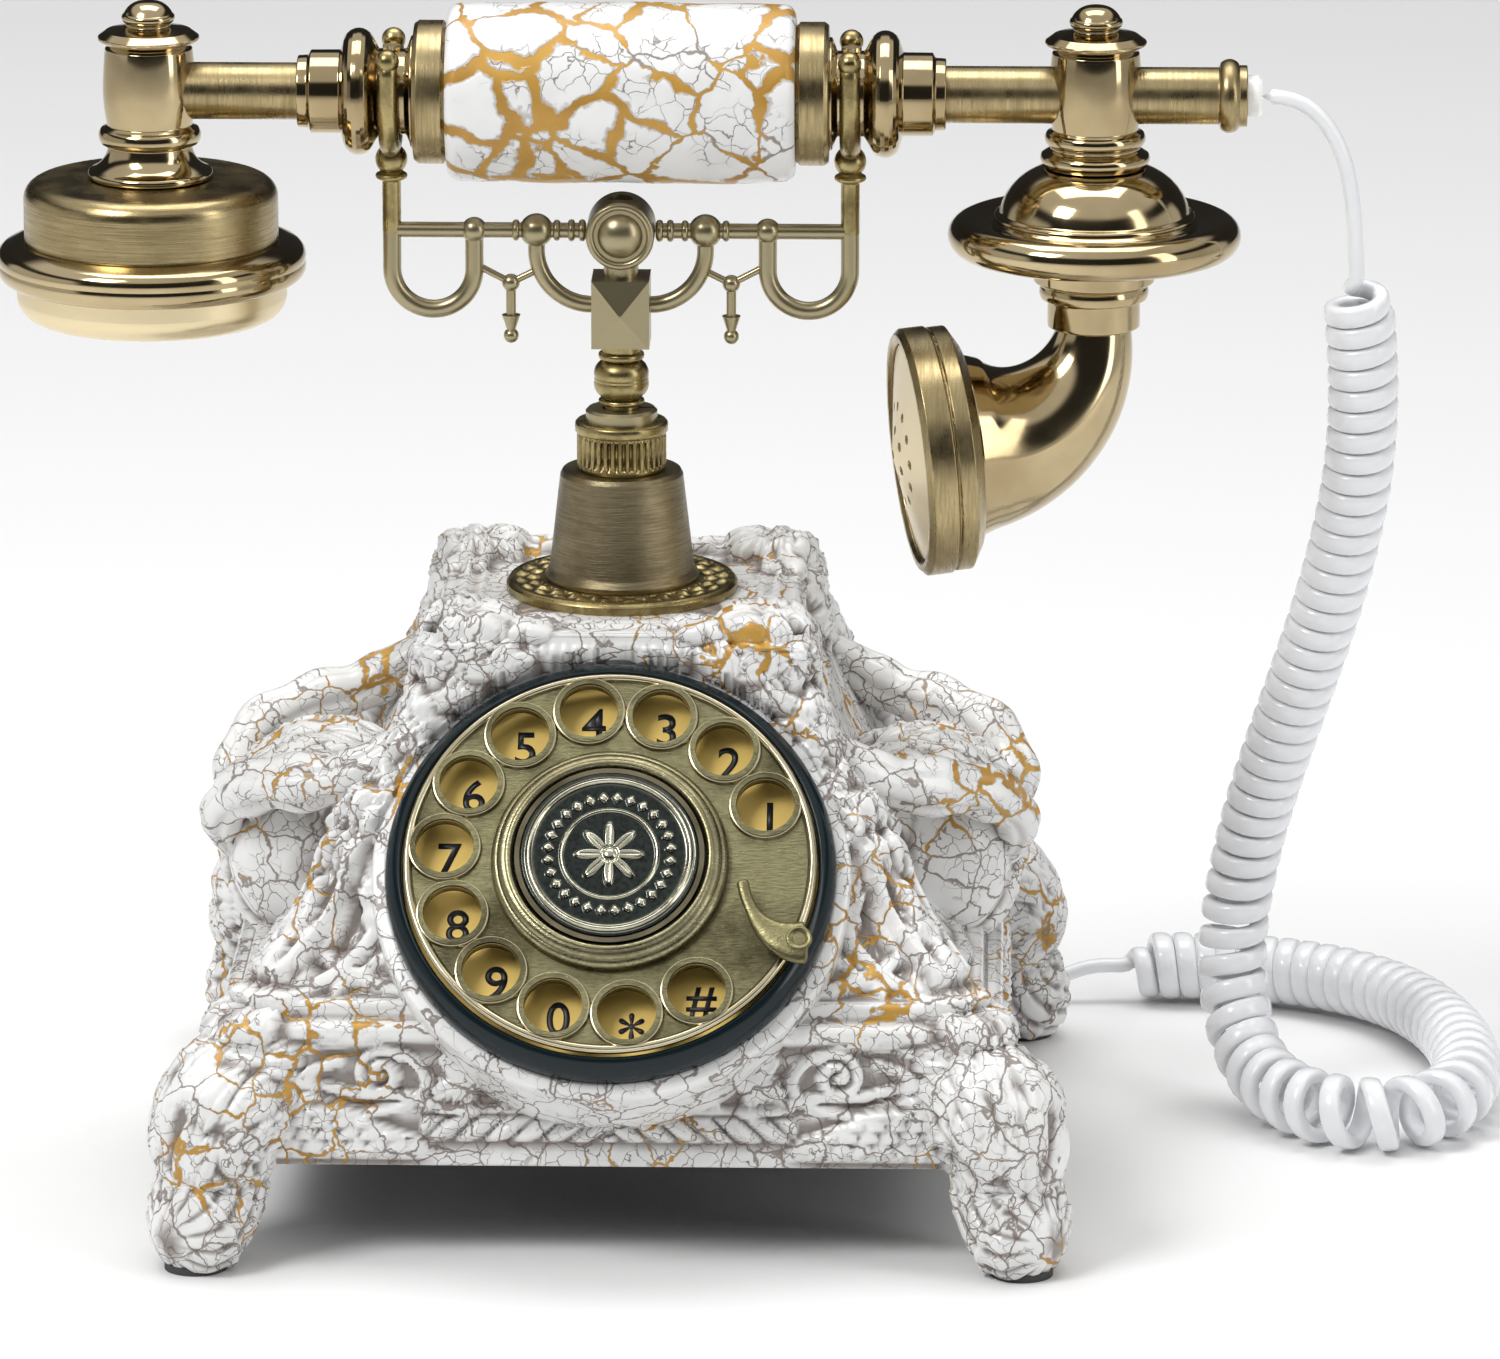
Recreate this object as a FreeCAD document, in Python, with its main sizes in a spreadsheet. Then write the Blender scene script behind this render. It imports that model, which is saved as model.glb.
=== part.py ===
"""Rotary telephone: a cabriole-legged base with an inclined dial drum, a brass stem whose sprung
cradle carries a brass and resin handset, and a curly handset cord.

Frame: millimetres, X to the right, the dial faces -Y, +Z up, origin on the table under the stem.
"""
import FreeCAD, Part
import math
import os

import Sketcher

SIZES = (
    # base
    ("plinth_half", 86.0, "half width of the square plinth"),
    ("plinth_bottom", 22.0, "height of the apron's lower edge"),
    ("plinth_top", 54.0, "height of the plinth's upper ledge"),
    ("wall", 4.0, "resin wall"),
    ("flare_low_half", 80.0, "half width of the flare where it leaves the plinth"),
    ("flare_mid_half", 60.0, "half width of the flare at its lower bend"),
    ("flare_mid_height", 80.0, "height of the lower bend"),
    ("flare_high_half", 46.5, "half width of the flare at its upper bend"),
    ("flare_high_height", 106.0, "height of the upper bend"),
    ("deck_half", 40.0, "half width of the deck"),
    ("deck_height", 132.5, "height of the deck's face"),
    ("deck_thick", 8.5, "thickness of the deck"),
    ("volute_radius", 24.0, "radius of the side volutes"),
    ("volute_out", 66.0, "volute centre from the middle"),
    ("volute_height", 74.0, "height of the volute centre"),
    ("volute_half", 28.0, "half length of a volute along Y"),
    ("leg_out", 91.5, "foot centre from the middle"),
    ("foot_radius", 13.0, "radius of a scroll foot"),
    ("foot_centre", 12.5, "height of a foot's centre"),
    ("knee_out", 84.0, "knee centre from the middle"),
    ("knee_radius", 18.5, "radius of a knee"),
    ("knee_height", 36.0, "height of a knee's centre"),
    ("shank_radius", 10.5, "radius of a leg between knee and foot"),
    ("pad_thick", 1.8, "thickness of a foot pad"),
    ("pad_radius", 7.0, "radius of a foot pad"),
    ("cover_thick", 2.0, "thickness of the bottom cover"),
    ("cover_gap", 0.4, "gap round the bottom cover"),
    ("cover_screw_out", 72.0, "cover screw from the middle"),
    ("boss_radius", 4.5, "radius of a screw boss"),
    ("thread_radius", 1.25, "radius of a small screw's thread"),
    ("pilot_radius", 1.3, "radius of the hole that a small screw cuts its thread in"),
    ("screw_clear", 1.7, "radius of a hole that a small screw passes"),
    ("screw_head", 2.8, "radius of a small screw's head"),
    ("head_thick", 1.8, "thickness of a small screw's head"),
    # inside the base
    ("board_height", 33.0, "height of the main board's underside"),
    ("board_thick", 1.6, "thickness of a circuit board"),
    ("board_left", -72.0, "left edge of the main board"),
    ("board_width", 80.0, "main board along X"),
    ("board_front", -30.0, "front edge of the main board"),
    ("board_depth", 88.0, "main board along Y"),
    ("speaker_x", 44.0, "ringer centre along X"),
    ("speaker_y", 22.0, "ringer centre along Y"),
    ("speaker_radius", 25.0, "radius of the ringer"),
    ("jack_out", 40.0, "jack centres from the middle"),
    ("jack_height", 36.0, "height of the jack centres"),
    ("jack_width", 14.0, "width of a jack's window"),
    ("jack_tall", 12.0, "height of a jack's window"),
    ("jack_deep", 16.0, "depth of a jack's body"),
    ("line_socket", 9.8, "width of the line socket"),
    ("handset_socket", 7.8, "width of the handset socket"),
    ("socket_tall", 6.8, "height of a socket"),
    ("socket_deep", 12.0, "depth of a socket"),
    ("fit_gap", 0.2, "gap round a piece that drops into a window"),
    ("slider_travel", 4.0, "travel of the ringer switch"),
    ("slider_wide", 4.0, "width of the ringer switch's nub"),
    ("slider_tall", 3.4, "height of the ringer switch's nub"),
    # dial, in its own frame: z is outward from the bezel's front edge
    ("dial_y", -74.1, "bezel centre along Y"),
    ("dial_z", 88.7, "bezel centre height"),
    ("drum_radius", 53.5, "outer radius of the resin drum"),
    ("drum_deep", 36.4, "depth of the drum behind the bezel's front edge"),
    ("bezel_radius", 50.0, "outer radius of the bezel"),
    ("bezel_deep", 6.7, "depth of the bezel in front of the drum"),
    ("bezel_bore", 46.2, "radius inside the bezel"),
    ("cup_radius", 47.9, "outer radius of the dial cup"),
    ("cup_bore", 43.5, "radius inside the dial cup"),
    ("cup_deep", 22.0, "depth of the dial cup"),
    ("cup_floor", 2.0, "thickness of the cup's floor"),
    ("drum_gap", 0.4, "gap between the dial cup and the drum"),
    ("ledge_bore", 42.0, "radius inside the drum's ledge"),
    ("plate_depth", 6.2, "depth of the ledge that carries the number plate"),
    ("plate_thick", 1.2, "thickness of the number plate"),
    ("wheel_radius", 45.3, "radius of the finger wheel"),
    ("wheel_face", 0.8, "height of the wheel's face"),
    ("wheel_thick", 1.8, "thickness of the finger wheel"),
    ("pitch_radius", 36.8, "radius of the finger-hole circle"),
    ("hole_radius", 6.5, "radius of a finger hole"),
    ("hole_rim", 1.2, "width of a finger hole's rim"),
    ("rim_height", 2.2, "height of a finger hole's rim"),
    ("post_radius", 11.9, "radius of the centre post"),
    ("post_head", 21.0, "radius of the centre post's head"),
    ("running_gap", 0.1, "radial gap of a turning or sliding fit"),
    ("sleeve_wall", 2.0, "wall of the wheel's sleeve"),
    ("ring_bore", 21.6, "bore of the raised ring"),
    ("ring_radius", 25.7, "radius of the raised ring"),
    ("ring_top", 4.9, "height of the raised ring"),
    ("button_radius", 19.6, "radius of the centre button"),
    ("button_top", 5.6, "height of the centre button"),
    ("button_thick", 1.8, "thickness of the centre button"),
    ("button_stem", 4.0, "radius of the button's stem"),
    ("button_travel", 1.5, "travel of the centre button"),
    ("gear_module", 1.5, "module of the dial gear"),
    ("governor_out", 34.0, "governor axis from the dial axis"),
    ("lever_under", 3.6, "height of the redial lever's underside"),
    ("lever_thick", 3.0, "thickness of the redial lever"),
    ("lever_post", 1.2, "radius of the redial lever's post"),
    ("lever_gap", 0.3, "gap round the redial lever's post"),
    # stem
    ("flange_radius", 26.2, "radius of the stem flange"),
    ("flange_thick", 2.8, "thickness of the stem flange"),
    ("bell_foot", 16.4, "radius of the bell at its foot"),
    ("bell_head", 13.9, "radius of the bell at its shoulder"),
    ("bell_tall", 25.2, "height of the bell"),
    ("bell_wall", 2.0, "wall of the bell"),
    ("collar_radius", 10.0, "radius of the fluted collar"),
    ("collar_tall", 11.3, "height of the fluted collar"),
    ("cap_radius", 8.1, "radius of the collar's cap"),
    ("cap_thick", 2.8, "thickness of the collar's cap"),
    ("tube_radius", 6.0, "outer radius of the stem tube"),
    ("tube_bore", 4.1, "bore of the stem tube"),
    ("tube_bottom", 112.0, "lower end of the stem tube"),
    ("tube_clear", 0.3, "gap round the stem tube"),
    ("nut_radius", 8.6, "radius over the corners of the stem nut"),
    ("nut_tall", 6.0, "height of the stem nut"),
    ("cage_radius", 11.0, "outer radius of the hook cage"),
    ("cage_wall", 2.0, "wall of the hook cage"),
    ("cage_bottom", 76.0, "lower end of the hook cage"),
    # cradle
    ("rod_radius", 4.0, "radius of the hook rod"),
    ("ball_radius", 6.1, "radius of the rod's ball"),
    ("ball_height", 181.4, "height of the rod's ball"),
    ("block_bottom", 189.5, "lower face of the cradle block"),
    ("block_side", 13.0, "side of the cradle block"),
    ("block_tall", 15.6, "height of the cradle block"),
    ("boss_disc", 7.7, "radius of the cradle boss"),
    ("bar_height", 215.4, "height of the cradle bar"),
    ("bar_radius", 1.75, "radius of the cradle bar"),
    ("fork_out", 51.5, "fork centre from the middle"),
    ("loop_ball_out", 33.0, "outer ball from the middle"),
    ("brace_ball_out", 19.0, "inner ball from the middle"),
    ("loop_rod", 2.05, "radius of the rod that the loops are bent from"),
    ("brace_rod", 1.9, "radius of the rod that the braces are bent from"),
    ("fork_width", 5.2, "width of a fork's strap"),
    ("fork_wall", 3.0, "thickness of a fork's strap"),
    ("fork_gap", 0.3, "gap between a fork and the neck it carries"),
    ("fork_rise", 9.0, "height of the tines above the handset axis"),
    ("knuckle_radius", 4.0, "radius of the knuckle under a fork"),
    # handset, in its own frame: x along the handset axis
    ("handset_height", 247.0, "height of the handset axis"),
    ("handset_shift", 0.3, "how far the handset lies to the right in its forks"),
    ("grip_half", 39.0, "half length of the grip"),
    ("grip_radius", 20.2, "largest radius of the grip"),
    ("seat_gap", 0.1, "gap between turned pieces on the handset tube"),
    ("handset_tube_radius", 6.4, "radius of the handset tube"),
    ("handset_tube_bore", 5.0, "bore of the handset tube"),
    ("ferrule_radius", 16.1, "radius of a ferrule"),
    ("ferrule_end", 46.5, "far face of a ferrule from the middle"),
    ("neck_radius", 9.7, "radius of the neck that a fork carries"),
    ("neck_bead", 14.1, "radius of a neck's bead"),
    ("neck_collar", 9.35, "radius of a neck's collar"),
    ("neck_end", 72.7, "far face of a neck from the middle"),
    ("post_out", 106.0, "receiver and microphone axes from the middle"),
    ("barrel_radius", 10.4, "radius of a post's barrel"),
    ("post_top", 10.5, "top face of a post above the handset axis"),
    ("receiver_radius", 28.6, "radius of the receiver drum"),
    ("receiver_top", 20.3, "receiver drum's top below the handset axis"),
    ("receiver_low", 34.0, "receiver drum's lower edge below the axis"),
    ("receiver_ring", 34.6, "outer radius of the receiver's ring"),
    ("receiver_ring_low", 43.5, "lower face of the receiver's ring below the axis"),
    ("ear_radius", 30.4, "radius of the ear cap"),
    ("ear_low", 51.8, "lower face of the ear cap below the axis"),
    ("shell_wall", 2.0, "wall of the turned shells"),
    ("dome_top", 16.1, "top of the microphone dome below the axis"),
    ("brim_radius", 32.9, "radius of the microphone dome's brim"),
    ("brim_low", 36.2, "lower face of the brim below the axis"),
    ("horn_top", 52.8, "top of the horn below the axis"),
    ("horn_bend", 26.5, "radius of the horn's bend"),
    ("horn_tail", 4.5, "straight length after the horn's bend"),
    ("horn_small", 8.4, "radius of the horn at its top"),
    ("horn_large", 21.0, "radius of the horn at its mouth"),
    ("mouth_radius", 28.0, "radius of the mouthpiece ring"),
    ("mouth_deep", 13.5, "depth of the mouthpiece ring"),
    ("tube_end", 133.7, "where the handset tube's end bead starts"),
    ("bush_start", 140.0, "where the cord bush starts"),
    ("bush_end", 143.2, "where the cord bush ends"),
    # cords
    ("lead_radius", 2.0, "radius of the plain leads"),
    ("curl_radius", 8.2, "outer radius of the curled cord"),
)

DIAL_LEAN = 50.0        # turn about X that points the dial's axis outward, 40 degrees above level
HOLES = 12
HOLE_STEP = 25.5        # degrees between finger holes
FIRST_HOLE = 22.0       # degrees from the right to the first hole
GEAR_TEETH = 36
PINION_TEETH = 9
PINION_PLACE = 130.0    # degrees round the dial to the governor
SCREW_PLACES = (90.0, 210.0, 330.0)
BEND_ANGLE = 85.0       # degrees that the horn turns through
HORN_SWING = 10.0       # degrees that the horn is screwed round towards the front
SIDES = (-1, 1)
CORNERS = tuple((a, b) for a in SIDES for b in SIDES)

# Centre lines of the cord, from the handset's bush to the plug behind the base.
HANDSET_LEAD = (
    (143.5, 0, 247), (150.5, 0, 247), (157.5, 0, 242), (162.3, -0.3, 233), (164.4, -0.5, 221.5),
    (165.1, 0.2, 208.8), (166, 2, 198),
)
CURL = (
    (166, 2, 198), (167.5, 5, 180), (167, 9, 160), (163.5, 15, 138), (158, 21, 116),
    (151.5, 28, 94), (145.5, 34, 73), (141.5, 39, 53), (139.8, 41, 36), (141, 37, 21),
    (145.5, 26.5, 11.2), (153, 12, 8.9), (165, 0, 8.9), (179.5, -0.5, 8.9), (190.5, 11, 8.9),
    (195, 30, 8.9), (194.5, 54, 8.9), (189, 78, 8.9), (178.5, 98.5, 8.9), (161, 112.5, 8.9),
    (140, 119, 8.9), (117, 118.5, 8.9),
)
BASE_LEAD = (
    (117, 118.5, 8.9), (108, 118.3, 8.9), (99.5, 117.4, 6), (90, 115.5, 3.2), (79, 114.5, 2.3),
    (68, 116.5, 2.4), (57, 120.5, 5), (48.5, 122.5, 12), (43, 121.5, 21), (40.5, 118.5, 29.5),
    (40, 113, 36), (40, 106.5, 36),
)

doc = FreeCAD.newDocument("Telephone")
sheet = doc.addObject("Spreadsheet::Sheet", "sizes")
parts = []


class Size:
    """A size that keeps its number beside the sheet expression that it comes from."""

    def __init__(self, value, text):
        self.value = value
        self.text = text

    def joined(self, other, sign, value):
        return Size(value, "({} {} {})".format(self.text, sign, other.text))

    def __add__(self, other):
        other = size(other)
        return self.joined(other, "+", self.value + other.value)

    def __sub__(self, other):
        other = size(other)
        return self.joined(other, "-", self.value - other.value)

    def __mul__(self, other):
        other = size(other)
        return self.joined(other, "*", self.value * other.value)

    def __truediv__(self, other):
        other = size(other)
        return self.joined(other, "/", self.value / other.value)

    def __radd__(self, other):
        return size(other) + self

    def __rsub__(self, other):
        return size(other) - self

    def __rmul__(self, other):
        return size(other) * self

    def __neg__(self):
        return Size(-self.value, "(0 - {})".format(self.text))


def size(number):
    """A Size as it is, and a plain number as a Size."""
    if isinstance(number, Size):
        return number
    return Size(float(number), "({:.6f})".format(float(number)))


class Sheet:
    """The named sizes, each as a Size."""


v = Sheet()
for row, (name, number, note) in enumerate(SIZES, start=1):
    sheet.set("A{}".format(row), str(number))
    sheet.setAlias("A{}".format(row), name)
    sheet.set("B{}".format(row), note)
    setattr(v, name, Size(number, "sizes." + name))
doc.recompute()


def vec(x, y, z):
    return FreeCAD.Vector(size(x).value, size(y).value, size(z).value)


def turn(axis, degrees):
    """A rotation about X, Y or Z."""
    axes = {"X": (1, 0, 0), "Y": (0, 1, 0), "Z": (0, 0, 1)}
    return FreeCAD.Rotation(FreeCAD.Vector(*axes[axis]), degrees)


def bind(thing, **values):
    """Ties properties to the sheet."""
    for name, value in values.items():
        thing.setExpression(name, size(value).text)


def put(thing, place=(0, 0, 0), rotation=None):
    """Places an object, with its position tied to the sheet."""
    if rotation is not None:
        thing.Placement = FreeCAD.Placement(vec(*place), rotation)
    for axis, value in zip("xyz", place):
        thing.setExpression("Placement.Base." + axis, size(value).text)
    return thing


def cylinder(radius, height, place=(0, 0, 0), rotation=None):
    thing = doc.addObject("Part::Cylinder", "Cylinder")
    bind(thing, Radius=radius, Height=height)
    return put(thing, place, rotation)


def box(length, width, height, place=(0, 0, 0), rotation=None):
    thing = doc.addObject("Part::Box", "Box")
    bind(thing, Length=length, Width=width, Height=height)
    return put(thing, place, rotation)


def centred_box(length, width, height, x=0, y=0, z=0):
    """A box centred on x and y that stands on z."""
    return box(length, width, height, (x - size(length) / 2, y - size(width) / 2, z))


def sphere(radius, place=(0, 0, 0)):
    thing = doc.addObject("Part::Sphere", "Sphere")
    bind(thing, Radius=radius)
    return put(thing, place)


def cone(low, high, height, place=(0, 0, 0), rotation=None):
    thing = doc.addObject("Part::Cone", "Cone")
    bind(thing, Radius1=low, Radius2=high, Height=height)
    return put(thing, place, rotation)


def torus(ring, rod, place=(0, 0, 0), rotation=None, sweep=360.0):
    thing = doc.addObject("Part::Torus", "Torus")
    bind(thing, Radius1=ring, Radius2=rod)
    thing.Angle3 = sweep
    return put(thing, place, rotation)


def frustum(low_half, high_half, low, high):
    """A square frustum that stands upright about the origin's axis."""
    thing = doc.addObject("Part::Wedge", "Wedge")
    bind(thing, Ymin=low, Ymax=high, Xmin=-size(low_half), Xmax=low_half, Zmin=-size(low_half),
         Zmax=low_half, X2min=-size(high_half), X2max=high_half, Z2min=-size(high_half),
         Z2max=high_half)
    return put(thing, (0, 0, 0), turn("X", 90))


def strut(start, end, radius):
    """A round bar between two points."""
    first, last = vec(*start), vec(*end)
    along = last - first
    bar = cylinder(radius, along.Length)
    return put(bar, start, FreeCAD.Rotation(FreeCAD.Vector(0, 0, 1), along))


def fuse(*things):
    thing = doc.addObject("Part::MultiFuse", "Fusion")
    thing.Shapes = list(things)
    return thing


def cut(base, *tools):
    thing = doc.addObject("Part::Cut", "Cut")
    thing.Base = base
    thing.Tool = tools[0] if len(tools) == 1 else fuse(*tools)
    return thing


def mirrored(source):
    """The same piece on the other side of the YZ plane."""
    thing = doc.addObject("Part::Mirroring", "Mirrored")
    thing.Source = source
    thing.Normal = FreeCAD.Vector(1, 0, 0)
    return thing


def keep(label, thing, place=(0, 0, 0), rotation=None):
    """Names a finished sub-part and sets it in its frame."""
    thing.Label = label
    put(thing, place, rotation)
    parts.append(thing)
    return thing


def arc_through(start, end, radius, bulge):
    """An arc from start to end; bulge is 1 to swell to the right of the way and -1 to the left."""
    half = (end - start) * 0.5
    side = FreeCAD.Vector(half.y, -half.x, 0)
    side.normalize()
    depth = math.sqrt(max(radius * radius - half.Length * half.Length, 0.0))
    middle = start + half + side * (bulge * (radius - depth))
    return Part.Arc(start, middle, end)


def sketch(body, role, outline):
    """A closed outline on one of the body's origin planes, each corner tied to the sheet.

    A corner is (u, v) or (u, v, radius, bulge), where the last two bend the side that follows it.
    """
    drawing = body.newObject("Sketcher::SketchObject", "Outline")
    plane = [item for item in body.Origin.OriginFeatures if item.Role == role][0]
    drawing.AttachmentSupport = (plane, "")
    drawing.MapMode = "FlatFace"
    corners = [(size(corner[0]), size(corner[1])) for corner in outline]
    starts = []
    for index, corner in enumerate(outline):
        u, w = corners[index]
        next_u, next_w = corners[(index + 1) % len(outline)]
        start, end = vec(u, w, 0), vec(next_u, next_w, 0)
        if len(corner) == 4:
            bulge = corner[3]
            arc = arc_through(start, end, size(corner[2]).value, bulge)
            drawing.addGeometry(arc, False)
            starts.append((1, 2) if bulge > 0 else (2, 1))
        else:
            drawing.addGeometry(Part.LineSegment(start, end), False)
            starts.append((1, 2))
    count = len(outline)
    for index in range(count):
        after = (index + 1) % count
        drawing.addConstraint(Sketcher.Constraint("Coincident", index, starts[index][1], after,
                                                  starts[after][0]))
    for index, (u, w) in enumerate(corners):
        for kind, value, axis in (("DistanceX", u, -2), ("DistanceY", w, -1)):
            if value.value == 0.0:
                drawing.addConstraint(Sketcher.Constraint("PointOnObject", index, starts[index][0],
                                                          axis))
                continue
            number = drawing.addConstraint(Sketcher.Constraint(kind, -1, 1, index,
                                                               starts[index][0], value.value))
            drawing.setExpression("Constraints[{}]".format(number), value.text)
        if len(outline[index]) == 4:
            radius = size(outline[index][2])
            number = drawing.addConstraint(Sketcher.Constraint("Radius", index, radius.value))
            drawing.setExpression("Constraints[{}]".format(number), radius.text)
    return drawing


def turned(outline, place=(0, 0, 0), rotation=None):
    """A body turned about Z from an outline of (radius, height) corners."""
    body = doc.addObject("PartDesign::Body", "Turned")
    drawing = sketch(body, "XZ_Plane", outline)
    solid = body.newObject("PartDesign::Revolution", "Revolution")
    solid.Profile = drawing
    solid.ReferenceAxis = (drawing, ["V_Axis"])
    solid.Angle = 360.0
    return put(body, place, rotation)


def plate(outline, thick, place=(0, 0, 0), rotation=None):
    """A body padded up from an outline of (x, y) corners."""
    body = doc.addObject("PartDesign::Body", "Plate")
    drawing = sketch(body, "XY_Plane", outline)
    solid = body.newObject("PartDesign::Pad", "Pad")
    solid.Profile = drawing
    bind(solid, Length=thick)
    return put(body, place, rotation)


def polar(radius, degrees, height):
    """A point round the axis, as sizes."""
    angle = math.radians(degrees)
    return (size(radius) * math.cos(angle), size(radius) * math.sin(angle), height)


def toothed(teeth, module, bore, thick, low, phase=0.0):
    """A gear of straight-sided teeth, thin enough for a free running mesh."""
    pitch = module * teeth / 2
    tip, root = pitch + 0.55 * module, pitch - 1.0 * module
    step = 2 * math.pi / teeth
    points = []
    for tooth in range(teeth):
        centre = tooth * step + phase
        for radius, share in ((root, -0.27), (tip, -0.12), (tip, 0.12), (root, 0.27)):
            angle = centre + share * step
            points.append(FreeCAD.Vector(radius * math.cos(angle), radius * math.sin(angle), low))
    face = Part.Face(Part.makePolygon(points + points[:1]))
    gear = face.extrude(FreeCAD.Vector(0, 0, thick))
    if bore:
        gear = gear.cut(Part.makeCylinder(bore, thick + 2, FreeCAD.Vector(0, 0, low - 1)))
    return gear


def feature(shape):
    thing = doc.addObject("Part::Feature", "Shape")
    thing.Shape = shape
    return thing


# ---------------------------------------------------------------- base

def dial_place(thing):
    """Sets a helper piece of the drum in the dial's frame."""
    return put(thing, (0, v.dial_y, v.dial_z), turn("X", DIAL_LEAN))


def base_shell():
    """Plinth, flare, deck, volutes, legs and dial drum, hollowed from below."""
    deck_under = v.deck_height - v.deck_thick
    stages = (
        (v.plinth_half, v.plinth_half, v.plinth_bottom, v.plinth_top),
        (v.flare_low_half, v.flare_mid_half, v.plinth_top, v.flare_mid_height),
        (v.flare_mid_half, v.flare_high_half, v.flare_mid_height, v.flare_high_height),
        (v.flare_high_half, v.deck_half, v.flare_high_height, v.deck_height),
    )
    outside = [frustum(*stage) for stage in stages]
    inside = [
        frustum(v.plinth_half - v.wall, v.plinth_half - v.wall, v.plinth_bottom - 1,
                v.plinth_top - v.wall),
        frustum(v.flare_low_half - v.wall, v.flare_mid_half - v.wall, v.plinth_top - v.wall,
                v.flare_mid_height),
        frustum(v.flare_mid_half - v.wall, v.flare_high_half - v.wall, v.flare_mid_height,
                v.flare_high_height),
        frustum(v.flare_high_half - v.wall, v.deck_half - v.wall, v.flare_high_height, deck_under),
    ]
    for side in SIDES:
        centre = side * v.volute_out
        lay = turn("X", -90)
        outside.append(cylinder(v.volute_radius, v.volute_half * 2,
                                (centre, -v.volute_half, v.volute_height), lay))
        inside.append(cylinder(v.volute_radius - v.wall, (v.volute_half - v.wall) * 2,
                               (centre, v.wall - v.volute_half, v.volute_height), lay))
    for a, b in CORNERS:
        outside.append(sphere(v.knee_radius, (a * v.knee_out, b * v.knee_out, v.knee_height)))
        outside.append(sphere(v.foot_radius, (a * v.leg_out, b * v.leg_out, v.foot_centre)))
        outside.append(strut((a * v.leg_out, b * v.leg_out, v.foot_centre),
                             (a * v.knee_out, b * v.knee_out, v.knee_height), v.shank_radius))
    shell = cut(fuse(*outside), *inside)
    drum = cut(cylinder(v.drum_radius, v.drum_deep - v.bezel_deep, (0, 0, -v.drum_deep)),
               cylinder(v.ledge_bore, v.drum_deep, (0, 0, -v.drum_deep - 1)))
    boss_foot = v.plinth_bottom + v.cover_thick
    bosses = [cylinder(v.boss_radius, v.plinth_top + v.wall - boss_foot,
                       (a * v.cover_screw_out, b * v.cover_screw_out, boss_foot))
              for a, b in CORNERS]
    whole = fuse(shell, dial_place(drum), *bosses)
    cup = cylinder(v.cup_radius + v.drum_gap, v.cup_deep + 1, (0, 0, -v.cup_deep))
    seat = cylinder(v.bezel_radius + v.drum_gap, v.bezel_deep + 4, (0, 0, -v.bezel_deep))
    throat = cylinder(v.ledge_bore, v.cup_deep * 2, (0, 0, -v.cup_deep * 2.6))
    screw_ways = [cylinder(v.screw_clear, v.drum_deep, polar(v.cup_radius - 2.2, angle,
                                                             -v.drum_deep - 1))
                  for angle in SCREW_PLACES]
    window_deep = v.wall + 2
    window_y = v.plinth_half - v.wall - 1
    cuts = [dial_place(fuse(cup, seat, throat, *screw_ways)),
            cylinder(v.tube_radius + v.tube_clear, v.deck_thick + 2, (0, 0, deck_under - 1)),
            centred_box(v.leg_out * 4, v.leg_out * 4, 20, z=v.pad_thick - 20)]
    for side in SIDES:
        cuts.append(centred_box(v.jack_width, window_deep, v.jack_tall, side * v.jack_out,
                                window_y + window_deep / 2, v.jack_height - v.jack_tall / 2))
    cuts.append(centred_box(v.slider_wide + v.slider_travel + v.fit_gap * 2, window_deep,
                            v.slider_tall + v.fit_gap * 2, 0, window_y + window_deep / 2,
                            v.jack_height - v.slider_tall / 2 - v.fit_gap))
    for a, b in CORNERS:
        cuts.append(cylinder(v.pilot_radius, 16, (a * v.cover_screw_out, b * v.cover_screw_out,
                                                  v.plinth_bottom)))
    keep("base_shell", cut(whole, *cuts))


def bottom_cover():
    """The plate that closes the base, with board posts and sound slots."""
    side = (v.plinth_half - v.wall - v.cover_gap) * 2
    top = v.plinth_bottom + v.cover_thick
    plate_body = centred_box(side, side, v.cover_thick, z=v.plinth_bottom)
    posts = [cylinder(3, v.board_height - top, (x, y, top)) for x, y in board_corners()]
    pilots = [cylinder(v.pilot_radius, 7, (x, y, v.board_height - 7)) for x, y in board_corners()]
    ways = [cylinder(v.screw_clear, v.cover_thick + 2, (a * v.cover_screw_out,
                                                       b * v.cover_screw_out,
                                                       v.plinth_bottom - 1)) for a, b in CORNERS]
    slots = [centred_box(30, 2.4, v.cover_thick + 2, v.speaker_x, v.speaker_y + step * 6,
                         v.plinth_bottom - 1) for step in range(-2, 3)]
    keep("bottom_cover", cut(fuse(plate_body, *posts), *(pilots + ways + slots)))


def board_corners():
    """Centres of the main board's four screws."""
    inset = 5
    return [(v.board_left + inset + a * (v.board_width - 2 * inset),
             v.board_front + inset + b * (v.board_depth - 2 * inset))
            for a in (0, 1) for b in (0, 1)]


def screw(length, place):
    """A pan-head screw whose head's flat face is at place and whose thread points up."""
    x, y, z = place
    return fuse(cylinder(v.screw_head, v.head_thick, (x, y, z - v.head_thick)),
                cylinder(v.thread_radius, length, (x, y, z)))


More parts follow.
